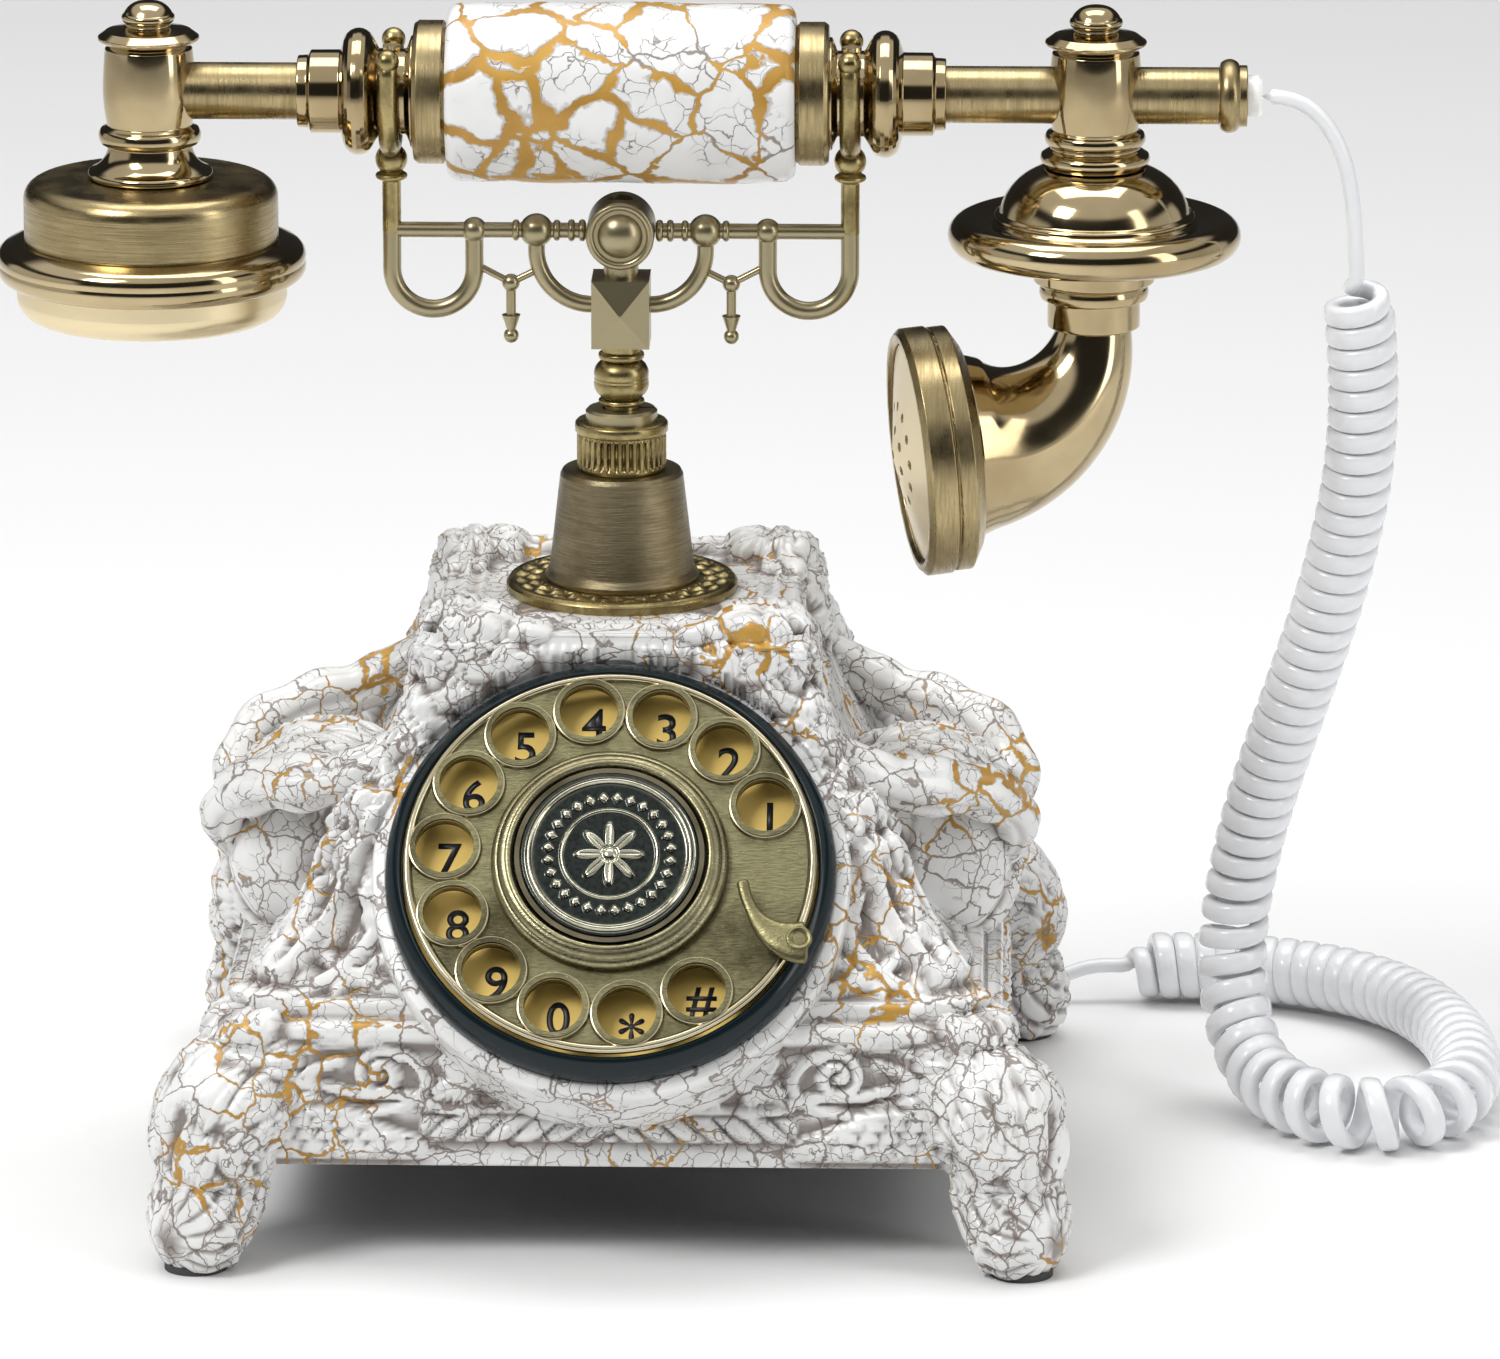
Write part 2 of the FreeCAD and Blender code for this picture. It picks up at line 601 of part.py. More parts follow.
def base_fittings():
    """Cover screws, pads, main board, ringer, jacks and the ringer switch."""
    keep("cover_screws", fuse(*[screw(14, (a * v.cover_screw_out, b * v.cover_screw_out,
                                           v.plinth_bottom)) for a, b in CORNERS]))
    keep("foot_pads", fuse(*[cylinder(v.pad_radius, v.pad_thick,
                                      (a * v.leg_out, b * v.leg_out, 0)) for a, b in CORNERS]))
    board_top = v.board_height + v.board_thick
    board = box(v.board_width, v.board_depth, v.board_thick,
                (v.board_left, v.board_front, v.board_height))
    chips = [centred_box(long, wide, tall, x, y, board_top)
             for long, wide, tall, x, y in ((18, 9, 4, -44, -10), (12, 12, 2, -20, 16),
                                            (9, 9, 12, -58, 22), (22, 6, 8, -30, 44))]
    holes = [cylinder(v.screw_clear, v.board_thick + 2, (x, y, v.board_height - 1))
             for x, y in board_corners()]
    keep("main_board", cut(fuse(board, *chips), *holes))
    floor = v.plinth_bottom + v.cover_thick
    keep("ringer_speaker", turned((
        (v.speaker_radius - 6, 0), (v.speaker_radius, 0), (v.speaker_radius, 2.5),
        (v.speaker_radius - 3, 2.5), (14, 11), (14, 19), (0, 19), (0, 7.5), (5, 7.5),
        (v.speaker_radius - 6, 1.5))), (v.speaker_x, v.speaker_y, floor))
    for label, side, socket in (("line_jack", -1, v.line_socket),
                                ("handset_jack", 1, v.handset_socket)):
        centre = side * v.jack_out
        front = v.plinth_half - v.jack_deep
        body = centred_box(v.jack_width - v.fit_gap * 2, v.jack_deep, v.jack_tall - v.fit_gap * 2,
                           centre, v.plinth_half - v.jack_deep / 2,
                           v.jack_height - v.jack_tall / 2 + v.fit_gap)
        hollow = centred_box(socket, v.socket_deep + 1, v.socket_tall, centre,
                             front + v.jack_deep - v.socket_deep / 2 + 0.5,
                             v.jack_height - v.socket_tall / 2)
        keep(label, cut(body, hollow))
    shelf = v.plinth_half - v.wall - v.fit_gap - 0.1
    nub = centred_box(v.slider_wide, v.wall + 3, v.slider_tall, -v.slider_travel / 2,
                      shelf + v.wall / 2 + 1.5, v.jack_height - v.slider_tall / 2)
    flange = centred_box(v.slider_wide + v.slider_travel * 2 + 3, 1.6, v.slider_tall + 4,
                         -v.slider_travel / 2, shelf - 0.8,
                         v.jack_height - v.slider_tall / 2 - 2)
    keep("ringer_switch", fuse(nub, flange))


# ---------------------------------------------------------------- dial

def in_dial(label, thing):
    """Keeps a piece of the dial in the dial's frame."""
    keep(label, thing, (0, v.dial_y, v.dial_z), turn("X", DIAL_LEAN))


def dial_fixed():
    """Bezel cup, number plate, centre post, screws and the board behind the button."""
    floor = -v.cup_deep
    spigot = v.button_stem + v.running_gap + 1
    cup = turned((
        (spigot + v.running_gap, floor), (v.cup_radius, floor), (v.cup_radius, -v.bezel_deep),
        (v.bezel_radius, -v.bezel_deep), (v.bezel_radius, -4), (v.bezel_radius - 1.4, -1.2),
        (v.bezel_bore + 0.5, 0), (v.bezel_bore, -0.5), (v.bezel_bore, -v.plate_depth),
        (v.cup_bore, -v.plate_depth), (v.cup_bore, floor + v.cup_floor),
        (spigot + v.running_gap, floor + v.cup_floor)))
    posts = [cylinder(2.5, 2.5, polar(25, angle, floor - 2.4)) for angle in SCREW_PLACES]
    pilots = [cylinder(v.pilot_radius, 11, polar(v.cup_radius - 2.2, angle, floor - 1))
              for angle in SCREW_PLACES]
    pivot = cylinder(1.5 + v.running_gap, v.cup_floor + 1,
                     polar(v.governor_out, PINION_PLACE, floor - 0.5))
    lever_hole = cylinder(v.lever_post + v.lever_gap, 4.5, (LEVER_ROOT[0], LEVER_ROOT[1], -4.1))
    in_dial("dial_housing", cut(fuse(cup, *posts), pivot, lever_hole, *pilots))
    sleeve_radius = v.post_radius + v.running_gap + v.sleeve_wall
    in_dial("number_plate", turned((
        (sleeve_radius + 0.6, -v.plate_depth), (v.bezel_bore - 0.2, -v.plate_depth),
        (v.bezel_bore - 0.2, v.plate_thick - v.plate_depth),
        (sleeve_radius + 0.6, v.plate_thick - v.plate_depth))))
    head = v.wheel_face + 0.2
    bore = v.button_stem + v.running_gap
    recess = v.button_top - v.button_thick - v.button_travel - 0.3
    in_dial("centre_post", turned((
        (bore, floor), (spigot, floor), (spigot, floor + v.cup_floor),
        (v.post_radius, floor + v.cup_floor), (v.post_radius, head), (v.post_head, head),
        (v.post_head, v.ring_top - 0.1), (v.button_radius + 0.3, v.ring_top - 0.1),
        (v.button_radius + 0.3, recess), (8.5, recess), (8.5, -8), (bore, -8))))
    in_dial("dial_board", fuse(cylinder(28, v.board_thick, (0, 0, floor - 2.4 - v.board_thick)),
                               centred_box(6, 6, 0.8, z=floor - 2.4)))


def inner_screws():
    """The small screws out of sight: four through the main board, three up into the dial cup."""
    board_top = v.board_height + v.board_thick
    board = [fuse(cylinder(v.screw_head, v.head_thick, (x, y, board_top)),
                  cylinder(v.thread_radius, 7, (x, y, board_top - 7)))
             for x, y in board_corners()]
    dial = [fuse(cylinder(v.screw_head, v.head_thick,
                          polar(v.cup_radius - 2.2, angle, -v.drum_deep - v.head_thick)),
                 cylinder(v.thread_radius, v.drum_deep - v.cup_deep + 9,
                          polar(v.cup_radius - 2.2, angle, -v.drum_deep)))
            for angle in SCREW_PLACES]
    keep("inner_screws", fuse(*board, dial_place(fuse(*dial))))


def dial_turning():
    """Finger wheel, raised ring, gear, return spring and governor."""
    floor = -v.cup_deep
    under = v.wheel_face - v.wheel_thick
    sleeve_bore = v.post_radius + v.running_gap
    sleeve_radius = sleeve_bore + v.sleeve_wall
    disc = turned((
        (sleeve_bore, floor + 5), (sleeve_radius, floor + 5), (sleeve_radius, under),
        (v.wheel_radius, under), (v.wheel_radius, v.wheel_face + 0.3),
        (v.wheel_radius - 0.7, v.wheel_face + 0.7), (v.wheel_radius - 1.6, v.wheel_face),
        (sleeve_bore, v.wheel_face)))
    places = [FIRST_HOLE + HOLE_STEP * number for number in range(HOLES)]
    rims = [cylinder(v.hole_radius + v.hole_rim, v.rim_height - under,
                     polar(v.pitch_radius, angle, under)) for angle in places]
    holes = [cylinder(v.hole_radius, v.rim_height - under + 2,
                      polar(v.pitch_radius, angle, under - 1)) for angle in places]
    in_dial("finger_wheel", cut(fuse(disc, *rims), *holes))
    in_dial("centre_ring", turned((
        (v.ring_bore, v.wheel_face), (v.ring_radius, v.wheel_face),
        (v.ring_radius, v.ring_top - 1.5), (v.ring_radius - 1.1, v.ring_top),
        (v.ring_bore + 0.8, v.ring_top), (v.ring_bore, v.ring_top - 0.7))))
    in_dial("dial_gear", feature(toothed(GEAR_TEETH, v.gear_module.value,
                                         sleeve_radius.value + 0.1, 2.0, -11.0)))
    in_dial("return_spring", turned((
        (sleeve_radius + 0.4, floor + v.cup_floor + 0.3), (21, floor + v.cup_floor + 0.3),
        (21, floor + 7.5), (sleeve_radius + 0.4, floor + 7.5))))
    axis = vec(*polar(v.governor_out, PINION_PLACE, 0))
    gear_phase = math.radians(PINION_PLACE)
    half_tooth = math.pi / PINION_TEETH
    tooth_offset = (gear_phase / (2 * math.pi / GEAR_TEETH)) % 1.0
    phase = gear_phase + math.pi + half_tooth + tooth_offset * 2 * half_tooth
    pinion = toothed(PINION_TEETH, v.gear_module.value, 0, 3.0, -11.5, phase)
    pinion.translate(axis)
    foot = axis + vec(0, 0, floor)
    shaft = Part.makeCylinder(1.5, 13.4, foot + FreeCAD.Vector(0, 0, 0.1))
    fly = Part.makeCylinder(8.5, 3.0, foot + FreeCAD.Vector(0, 0, 3))
    in_dial("governor_pinion", feature(pinion.fuse([shaft, fly])))


def button():
    """The centre button, its stem and its spring."""
    under = v.button_top - v.button_thick
    in_dial("handsfree_button", turned((
        (0, -v.cup_deep + 0.4), (v.button_stem, -v.cup_deep + 0.4), (v.button_stem, under),
        (v.button_radius, under), (v.button_radius, v.button_top - 0.5),
        (v.button_radius - 0.8, v.button_top), (0, v.button_top))))
    in_dial("button_spring", turned(((5.2, -7.9), (7.6, -7.9), (7.6, under - 0.1),
                                     (5.2, under - 0.1))))


LEVER_ROOT = (43.6, -20.3)      # the lever's post, under the bezel's edge


def redial_lever():
    """The curved finger stop, which dips about its root when it is pressed."""
    x, y = LEVER_ROOT
    arm = plate((
        (28.0, -5.4, 24, 1), (38.5, -24.2, 6, 1), (45.6, -24.0, 4.6, 1), (45.2, -16.1),
        (40.4, -15.8, 11.7, -1), (31.1, -5.6, 1.65, 1)), v.lever_thick, (0, 0, v.lever_under))
    post = cylinder(v.lever_post, v.lever_under + 4.8, (x, y, -3.8))
    in_dial("redial_lever", fuse(arm, post))


# ---------------------------------------------------------------- stem

def stem():
    """Flange, bell, fluted collar, cap, the tube through them, its nut and the hook cage."""
    deck = v.deck_height
    hole = v.tube_radius + v.tube_clear
    keep("stem_flange", turned((
        (hole, 0), (v.flange_radius - 1, 0), (v.flange_radius, 1), (v.flange_radius, 2),
        (v.flange_radius - 0.8, v.flange_thick), (hole, v.flange_thick))), (0, 0, deck))
    foot = v.flange_thick
    top = foot + v.bell_tall
    keep("stem_bell", turned((
        (v.bell_foot - v.bell_wall, foot), (v.bell_foot + 0.8, foot), (v.bell_foot, foot + 1.6),
        (v.bell_head, top - 2.6, 2.8, 1), (v.bell_head - 2.5, top), (hole, top),
        (hole, top - v.bell_wall), (v.bell_head - v.bell_wall - 2, top - v.bell_wall))),
        (0, 0, deck))
    collar_top = top + v.collar_tall
    blank = turned((
        (hole, top), (v.collar_radius, top), (v.collar_radius, collar_top - 1.2),
        (v.collar_radius - 1.2, collar_top), (hole, collar_top)))
    flutes = [cylinder(0.4, v.collar_tall + 2, polar(v.collar_radius + 0.1, number * 10, top - 1))
              for number in range(36)]
    keep("knurled_collar", cut(blank, *flutes), (0, 0, deck))
    cap = turned((
        (v.rod_radius + v.tube_clear, collar_top), (v.cap_radius, collar_top),
        (v.cap_radius, collar_top + 2.2), (v.cap_radius - 0.6, collar_top + v.cap_thick),
        (v.rod_radius + v.tube_clear, collar_top + v.cap_thick)))
    slot = box(v.cap_radius, 1.0, 2, (3, -0.5, collar_top + v.cap_thick - 1))
    keep("collar_cap", cut(cap, slot), (0, 0, deck))
    keep("stem_tube", turned((
        (v.tube_bore, v.tube_bottom), (v.tube_radius, v.tube_bottom),
        (v.tube_radius, deck + collar_top - 0.1), (v.tube_bore, deck + collar_top - 0.1))))
    under = deck - v.deck_thick
    nut = doc.addObject("Part::Prism", "Nut")
    nut.Polygon = 6
    bind(nut, Circumradius=v.nut_radius, Height=v.nut_tall)
    put(nut, (0, 0, under - v.nut_tall))
    keep("stem_nut", cut(nut, cylinder(v.tube_radius + 0.05, v.nut_tall + 2,
                                       (0, 0, under - v.nut_tall - 1))))
    cage = turned((
        (2.6, v.cage_bottom), (v.cage_radius, v.cage_bottom), (v.cage_radius, under - 2),
        (v.cage_radius + 5, under - 2), (v.cage_radius + 5, under),
        (v.cage_radius - v.cage_wall, under), (v.cage_radius - v.cage_wall, v.cage_bottom + 2),
        (2.6, v.cage_bottom + 2)))
    keep("hook_cage", cage)
    keep("hook_switch", cut(centred_box(12.8, 6.5, 8, z=v.cage_bottom - 8),
                            cylinder(2.3, 7, (0, 0, v.cage_bottom - 6))))


# ---------------------------------------------------------------- cradle

def cradle():
    """Hook rod, block, boss, arms and forks: all that rises when the handset is lifted."""
    stop = v.cage_bottom + 20
    rod = fuse(
        cylinder(v.rod_radius, v.block_bottom - stop, (0, 0, stop)),
        cylinder(v.cage_radius - v.cage_wall - 1, 2, (0, 0, stop)),
        cylinder(2.0, 24, (0, 0, stop - 24)),
        sphere(v.ball_radius, (0, 0, v.ball_height)))
    keep("hook_rod", rod)
    keep("hook_spring", turned((
        (5, v.cage_bottom + 2.1), (7.5, v.cage_bottom + 2.1), (7.5, stop - 0.1),
        (5, stop - 0.1))))
    half = v.block_side / 2
    block = centred_box(v.block_side, v.block_side, v.block_tall, z=v.block_bottom)
    middle = v.block_bottom + v.block_tall / 2
    faces = []
    for side in SIDES:
        peak = doc.addObject("Part::Wedge", "Pyramid")
        bind(peak, Xmin=-half, Xmax=half, Ymin=0, Ymax=2.2, Zmin=-v.block_tall / 2,
             Zmax=v.block_tall / 2, X2min=-0.3, X2max=0.3, Z2min=-0.3, Z2max=0.3)
        faces.append(put(peak, (0, side * half, middle), turn("Z", 0 if side > 0 else 180)))
    keep("cradle_block", fuse(block, *faces))
    block_top = v.block_bottom + v.block_tall
    barrel = cylinder(v.boss_disc, 12, (0, -6, v.bar_height), turn("X", -90))
    rims = [torus(v.boss_disc - 0.9, 0.9, (0, side * 6, v.bar_height), turn("X", 90))
            for side in SIDES]
    dome_radius = v.boss_disc - 1.6
    domes = [sphere(dome_radius, (0, side * 2.6, v.bar_height)) for side in SIDES]
    neck = cylinder(3.9, v.bar_height - block_top, (0, 0, block_top))
    eye = cylinder(2.8, 3, (0, 0, v.bar_height + v.boss_disc - 2.4))
    keep("cradle_boss", cut(fuse(barrel, neck, *(rims + domes)), eye))
    arm = right_arm()
    keep("right_arm", arm)
    keep("left_arm", mirrored(arm))
    fork = right_fork()
    keep("right_fork", fork)
    keep("left_fork", mirrored(fork))


def right_arm():
    """Bar with its balls, the loop, the brace down to the block and the small pendant."""
    z = v.bar_height
    start = v.boss_disc + 0.1
    lie = turn("Y", 90)
    pieces = [cylinder(v.bar_radius, v.fork_out - start, (start, 0, z), lie)]
    for x, radius in ((start + 0.9, 2.5), (start + 3.3, 2.5), (v.brace_ball_out - 4.6, 2.4),
                      (v.brace_ball_out + 4.6, 2.4)):
        pieces.append(torus(radius - 0.8, 0.8, (x, 0, z), lie))
    pieces.append(sphere(3.8, (v.brace_ball_out, 0, z)))
    pieces.append(sphere(2.9, (v.loop_ball_out, 0, z)))
    reach = (v.fork_out - v.loop_ball_out) / 2
    middle = v.loop_ball_out + reach
    low = z - 9
    pieces.append(torus(reach, v.loop_rod, (middle, 0, low), turn("X", -90), 180))
    pieces.append(cylinder(v.loop_rod, z - low, (v.loop_ball_out, 0, low)))
    knuckle = v.handset_height - v.neck_radius - v.fork_gap - v.fork_wall - 2.5
    pieces.append(cylinder(v.loop_rod, knuckle - v.knuckle_radius - low, (v.fork_out, 0, low)))
    bend = v.brace_ball_out - v.block_side / 2 - 0.1
    pieces.append(cylinder(v.brace_rod, 4.6, (v.brace_ball_out, 0, z - 4.6)))
    ring = torus(bend, v.brace_rod, (v.brace_ball_out - bend, 0, z - 4.6), turn("X", -90), 90)
    pieces.append(ring)
    hang = v.loop_ball_out - 8.2
    drop = z - 12.1
    pieces.append(strut((v.loop_ball_out, 0, z - 7.8), (hang, 0, drop), 0.8))
    pieces.append(strut((v.brace_ball_out - 1.2, 0, z - 8.6), (hang, 0, drop), 0.8))
    pieces.append(sphere(2.0, (hang, 0, drop)))
    pieces.append(cylinder(1.1, 10, (hang, 0, drop - 10)))
    pieces.append(cone(0.9, 2.1, 3.6, (hang, 0, drop - 11)))
    pieces.append(sphere(1.7, (hang, 0, drop - 12.2)))
    return fuse(*pieces)


def right_fork():
    """The U that the neck lies in, with the knuckle under it."""
    inner = v.neck_radius + v.fork_gap
    outer = inner + v.fork_wall
    lie = turn("Y", 90)
    left = v.fork_out - v.fork_width / 2
    z = v.handset_height
    bend = cut(cylinder(outer, v.fork_width, (left, 0, z), lie),
               centred_box(v.fork_width * 2, outer * 2 + 2, outer + 1, v.fork_out, 0, z))
    tines = [centred_box(v.fork_width, v.fork_wall, v.fork_rise, v.fork_out,
                         side * (inner + v.fork_wall / 2), z) for side in SIDES]
    knuckle = cylinder(v.knuckle_radius, 7,
                       (v.fork_out, -3.5, z - outer - 2.5), turn("X", -90))
    way = cylinder(inner, v.fork_width + 2, (left - 1, 0, z), lie)
    return cut(fuse(bend, knuckle, *tines), way)


# ---------------------------------------------------------------- handset

def in_handset(label, thing, rotation=None, x=0):
    """Keeps a piece of the handset in the handset's frame."""
    keep(label, thing, (v.handset_shift + x, 0, v.handset_height), rotation)


def handset_bar():
    """Tube, grip, ferrules, necks and the end that the cord leaves by."""
    along = turn("Y", 90)
    back = turn("Y", -90)
    tube = v.handset_tube_radius
    hole = tube + v.seat_gap
    bore = v.handset_tube_bore
    bead_end = v.tube_end + 4.2
    in_handset("handset_tube", turned((
        (bore, 2 - v.post_out), (tube, 2 - v.post_out), (tube, v.tube_end),
        (7.0, v.tube_end, 2.4, 1), (7.0, bead_end), (6.9, bead_end + 0.1), (6.9, v.bush_start),
        (v.lead_radius + 0.3, v.bush_start), (v.lead_radius + 0.3, bead_end), (bore, bead_end))),
        along)
    in_handset("grip", turned((
        (hole, -v.grip_half), (v.grip_radius - 3, -v.grip_half, 3.6, 1),
        (v.grip_radius, 3.2 - v.grip_half), (v.grip_radius, v.grip_half - 3.2, 3.6, 1),
        (v.grip_radius - 3, v.grip_half), (hole, v.grip_half))), along)
    ferrule = ((hole, v.grip_half), (v.ferrule_radius, v.grip_half),
               (v.ferrule_radius, v.ferrule_end - 0.8), (v.ferrule_radius - 0.8, v.ferrule_end),
               (hole, v.ferrule_end))
    in_handset("ferrules", fuse(turned(ferrule, (0, 0, 0), along),
                                turned(ferrule, (0, 0, 0), back)))
    bead = v.ferrule_end + 9
    collar = bead + 7.5
    neck = (
        (hole, v.ferrule_end), (12.5, v.ferrule_end), (v.neck_radius, v.ferrule_end + 1.5),
        (v.neck_radius, bead - 1), (v.neck_bead - 1.6, bead + 0.6, 3.6, 1),
        (v.neck_bead - 1.6, bead + 6.4), (v.neck_collar, collar), (v.neck_collar, collar + 6.8),
        (v.neck_collar - 1.3, collar + 7.4), (v.neck_collar - 1.3, v.neck_end),
        (hole, v.neck_end))
    pilots = [cylinder(v.pilot_radius, 4, (side * (bead - 4), 0, v.neck_radius - 2.6))
              for side in SIDES]
    in_handset("necks", cut(fuse(turned(neck, (0, 0, 0), along), turned(neck, (0, 0, 0), back)),
                            *pilots))
    in_handset("neck_screws", fuse(*[
        fuse(cylinder(2.0, 1.0, (side * (bead - 4), 0, v.neck_radius)),
             cylinder(v.thread_radius, 2.5, (side * (bead - 4), 0, v.neck_radius - 2.4)))
        for side in SIDES]))
    in_handset("cord_bush", turned((
        (0, v.bush_start), (4.7, v.bush_start), (4.7, v.bush_end - 0.8),
        (4.0, v.bush_end), (0, v.bush_end))), along)


def post_outline(low):
    """Outline of a post's barrel with its foot given by the caller."""
    r = v.barrel_radius
    return low + ((r - 0.8, -7.4), (r, 0), (r - 0.6, v.post_top - 0.8),
                  (r - 1.2, v.post_top), (0, v.post_top))


def receiver():
    """The listening end: post, drum, ring, ear cap and capsule."""
    way = cylinder(v.handset_tube_radius + v.seat_gap, v.barrel_radius * 2,
                   (-v.barrel_radius * 0.4, 0, 0), turn("Y", 90))
    top = -v.receiver_top
    post = turned(post_outline(((0, top), (11.2, top), (11.2, top + 0.6), (13.9, top + 1.7),
                                (9.2, top + 8), (11, top + 8.6), (11, top + 11.6))))
    x = -v.post_out
    in_handset("receiver_post", cut(post, way), None, x)
    wall = v.shell_wall
    r = v.receiver_radius
    in_handset("receiver_shell", turned((
        (0, top - wall), (r - 4.6, top - wall), (r - wall, top - 4.6),
        (r - wall, -v.receiver_low), (r, -v.receiver_low), (r, top - 4, 4, 1), (r - 4, top),
        (0, top))), None, x)
    low = -v.receiver_ring_low
    high = -v.receiver_low - v.seat_gap
    bulge = (v.receiver_low + v.seat_gap - v.receiver_ring_low) / -2
    in_handset("receiver_ring", turned((
        (r - 4.6, low), (v.receiver_ring - bulge, low, bulge, 1),
        (v.receiver_ring, low + bulge, bulge, 1), (v.receiver_ring - bulge, high),
        (r - 4.6, high))), None, x)
    ear = v.ear_radius
    cap_top = low - v.seat_gap
    cap = turned((
        (0, -v.ear_low), (ear - 4.4, -v.ear_low, 5.4, 1), (ear, cap_top - 3.2), (ear, cap_top),
        (ear - wall, cap_top), (ear - wall, cap_top - 3), (ear - 5, wall - v.ear_low),
        (0, wall - v.ear_low)))
    holes = [cylinder(1.4, wall + 2, polar(9, number * 60, -v.ear_low - 1)) for number in range(6)]
    holes.append(cylinder(1.4, wall + 2, (0, 0, -v.ear_low - 1)))
    in_handset("ear_cap", cut(cap, *holes), None, x)
    in_handset("receiver_capsule", turned((
        (0, wall - v.ear_low), (21, wall - v.ear_low), (21, wall - v.ear_low + 5),
        (17, wall - v.ear_low + 9), (0, wall - v.ear_low + 9))), None, x)


def finials():
    """The turned cap and acorn on top of each post."""
    top = v.post_top
    outline = ((0, top), (9.4, top), (11.1, top + 1.6), (10.6, top + 3), (5.0, top + 4.2),
               (5.4, top + 5), (5.4, top + 7.4, 7.275, 1), (0, top + 9.8))
    in_handset("finials", fuse(*[turned(outline, (side * v.post_out, 0, 0)) for side in SIDES]))


def microphone():
    """The speaking end: post, dome, collar, horn, ring, grille and capsule."""
    x = v.post_out
    way = cylinder(v.handset_tube_radius + v.seat_gap, v.barrel_radius * 4,
                   (-v.barrel_radius * 2, 0, 0), turn("Y", 90))
    foot = -v.dome_top + 0.1
    post = turned(post_outline(((0, foot), (11.4, foot), (12, foot + 0.8), (12, foot + 3),
                                (10, foot + 4.2), (10.9, foot + 5), (10.9, foot + 7.6))))
    in_handset("mic_post", cut(post, way), None, x)
    low = -v.brim_low
    roll = 4.3
    edge = v.brim_radius - roll
    in_handset("mic_dome", turned((
        (8, low), (edge, low, roll, 1), (v.brim_radius, low + roll, roll, 1),
        (edge, low + roll * 2), (22.6, low + 7.4),
        (21.4, low + 9.6, 14.5, 1), (9.6, -v.dome_top), (0, -v.dome_top),
        (0, -v.dome_top - v.shell_wall), (9, -v.dome_top - v.shell_wall), (19, low + 9),
        (19, low + v.shell_wall), (8, low + v.shell_wall))), None, x)
    bore = v.horn_small - 1.6
    collar = turned((
        (bore, -v.horn_top), (10.4, -v.horn_top), (10.4, low - 10.4), (12, low - 10),
        (12, low - 7), (13.6, low - 6.6), (13.6, low), (bore, low)))
    swing = turn("Z", HORN_SWING)
    bell = cut(horn_loft(v.horn_small, v.horn_large), horn_loft(bore, v.horn_large - 1.6))
    in_handset("horn", fuse(collar, bell), swing, x)
    place, facing = horn_end()
    mouth = swing.multiply(facing)
    at = swing.multVec(place)
    where = (v.post_out + v.handset_shift + at.x, at.y, v.handset_height + at.z)
    wall = v.shell_wall
    r = v.mouth_radius
    deep = v.mouth_deep
    keep("mouth_ring", turned((
        (16, 0), (23.5, 0), (r - 0.4, 2.4), (r - 0.4, 6), (r - 1, 6.4), (r, 6.9), (r, deep - 1.4),
        (r - 1.4, deep), (r - 3.4, deep), (r - 3.4, wall), (16, wall))), where, mouth)
    lip = r - 3.6
    dome = turned((
        (lip - 1.6, wall + 7.6), (lip, wall + 7.6), (lip, deep - 1.2), (0, deep + 3.6),
        (0, deep + 2.4), (lip - 1.6, deep - 2.6)))
    holes = [cylinder(1.1, deep, (0, 0, wall + 8))]
    for ring, count in ((5.5, 6), (11, 12)):
        holes += [cylinder(1.1, deep, polar(ring, number * 360 / count, wall + 8))
                  for number in range(count)]
    keep("mouth_grille", cut(dome, *holes), where, mouth)
    keep("mic_capsule", turned(((0, wall + 0.1), (18, wall + 0.1), (18, wall + 7.4),
                                (0, wall + 7.4))), where, mouth)


def horn_point(angle, tail):
    """A point on the horn's centre line: round the bend by an angle, then straight on."""
    across = v.horn_bend * (math.cos(angle) - 1) - tail * math.sin(angle)
    down = v.horn_bend * math.sin(angle) + tail * math.cos(angle)
    return across, 0, -v.horn_top - down


def horn_loft(small, large):
    """A bend that widens from its top to its mouth, through circles set along it."""
    steps = 9
    bend = math.radians(BEND_ANGLE)
    sections = []
    for step in range(steps + 1):
        angle = bend * min(step / (steps - 1), 1.0)
        circle = doc.addObject("Part::Circle", "Section")
        bind(circle, Radius=small + (large - small) * ((step / steps) ** 1.15))
        tail = v.horn_tail if step == steps else size(0)
        put(circle, horn_point(angle, tail), turn("Y", 180 + math.degrees(angle)))
        sections.append(circle)
    loft = doc.addObject("Part::Loft", "Horn")
    loft.Sections = sections
    loft.Solid = True
    loft.Ruled = False
    return loft


def horn_end():
    """Where the mouthpiece ring sits and which way it faces, in the horn's plane."""
    place = vec(*horn_point(math.radians(BEND_ANGLE), v.horn_tail + v.seat_gap))
    return place, turn("Y", 180 + BEND_ANGLE)


# ---------------------------------------------------------------- cords

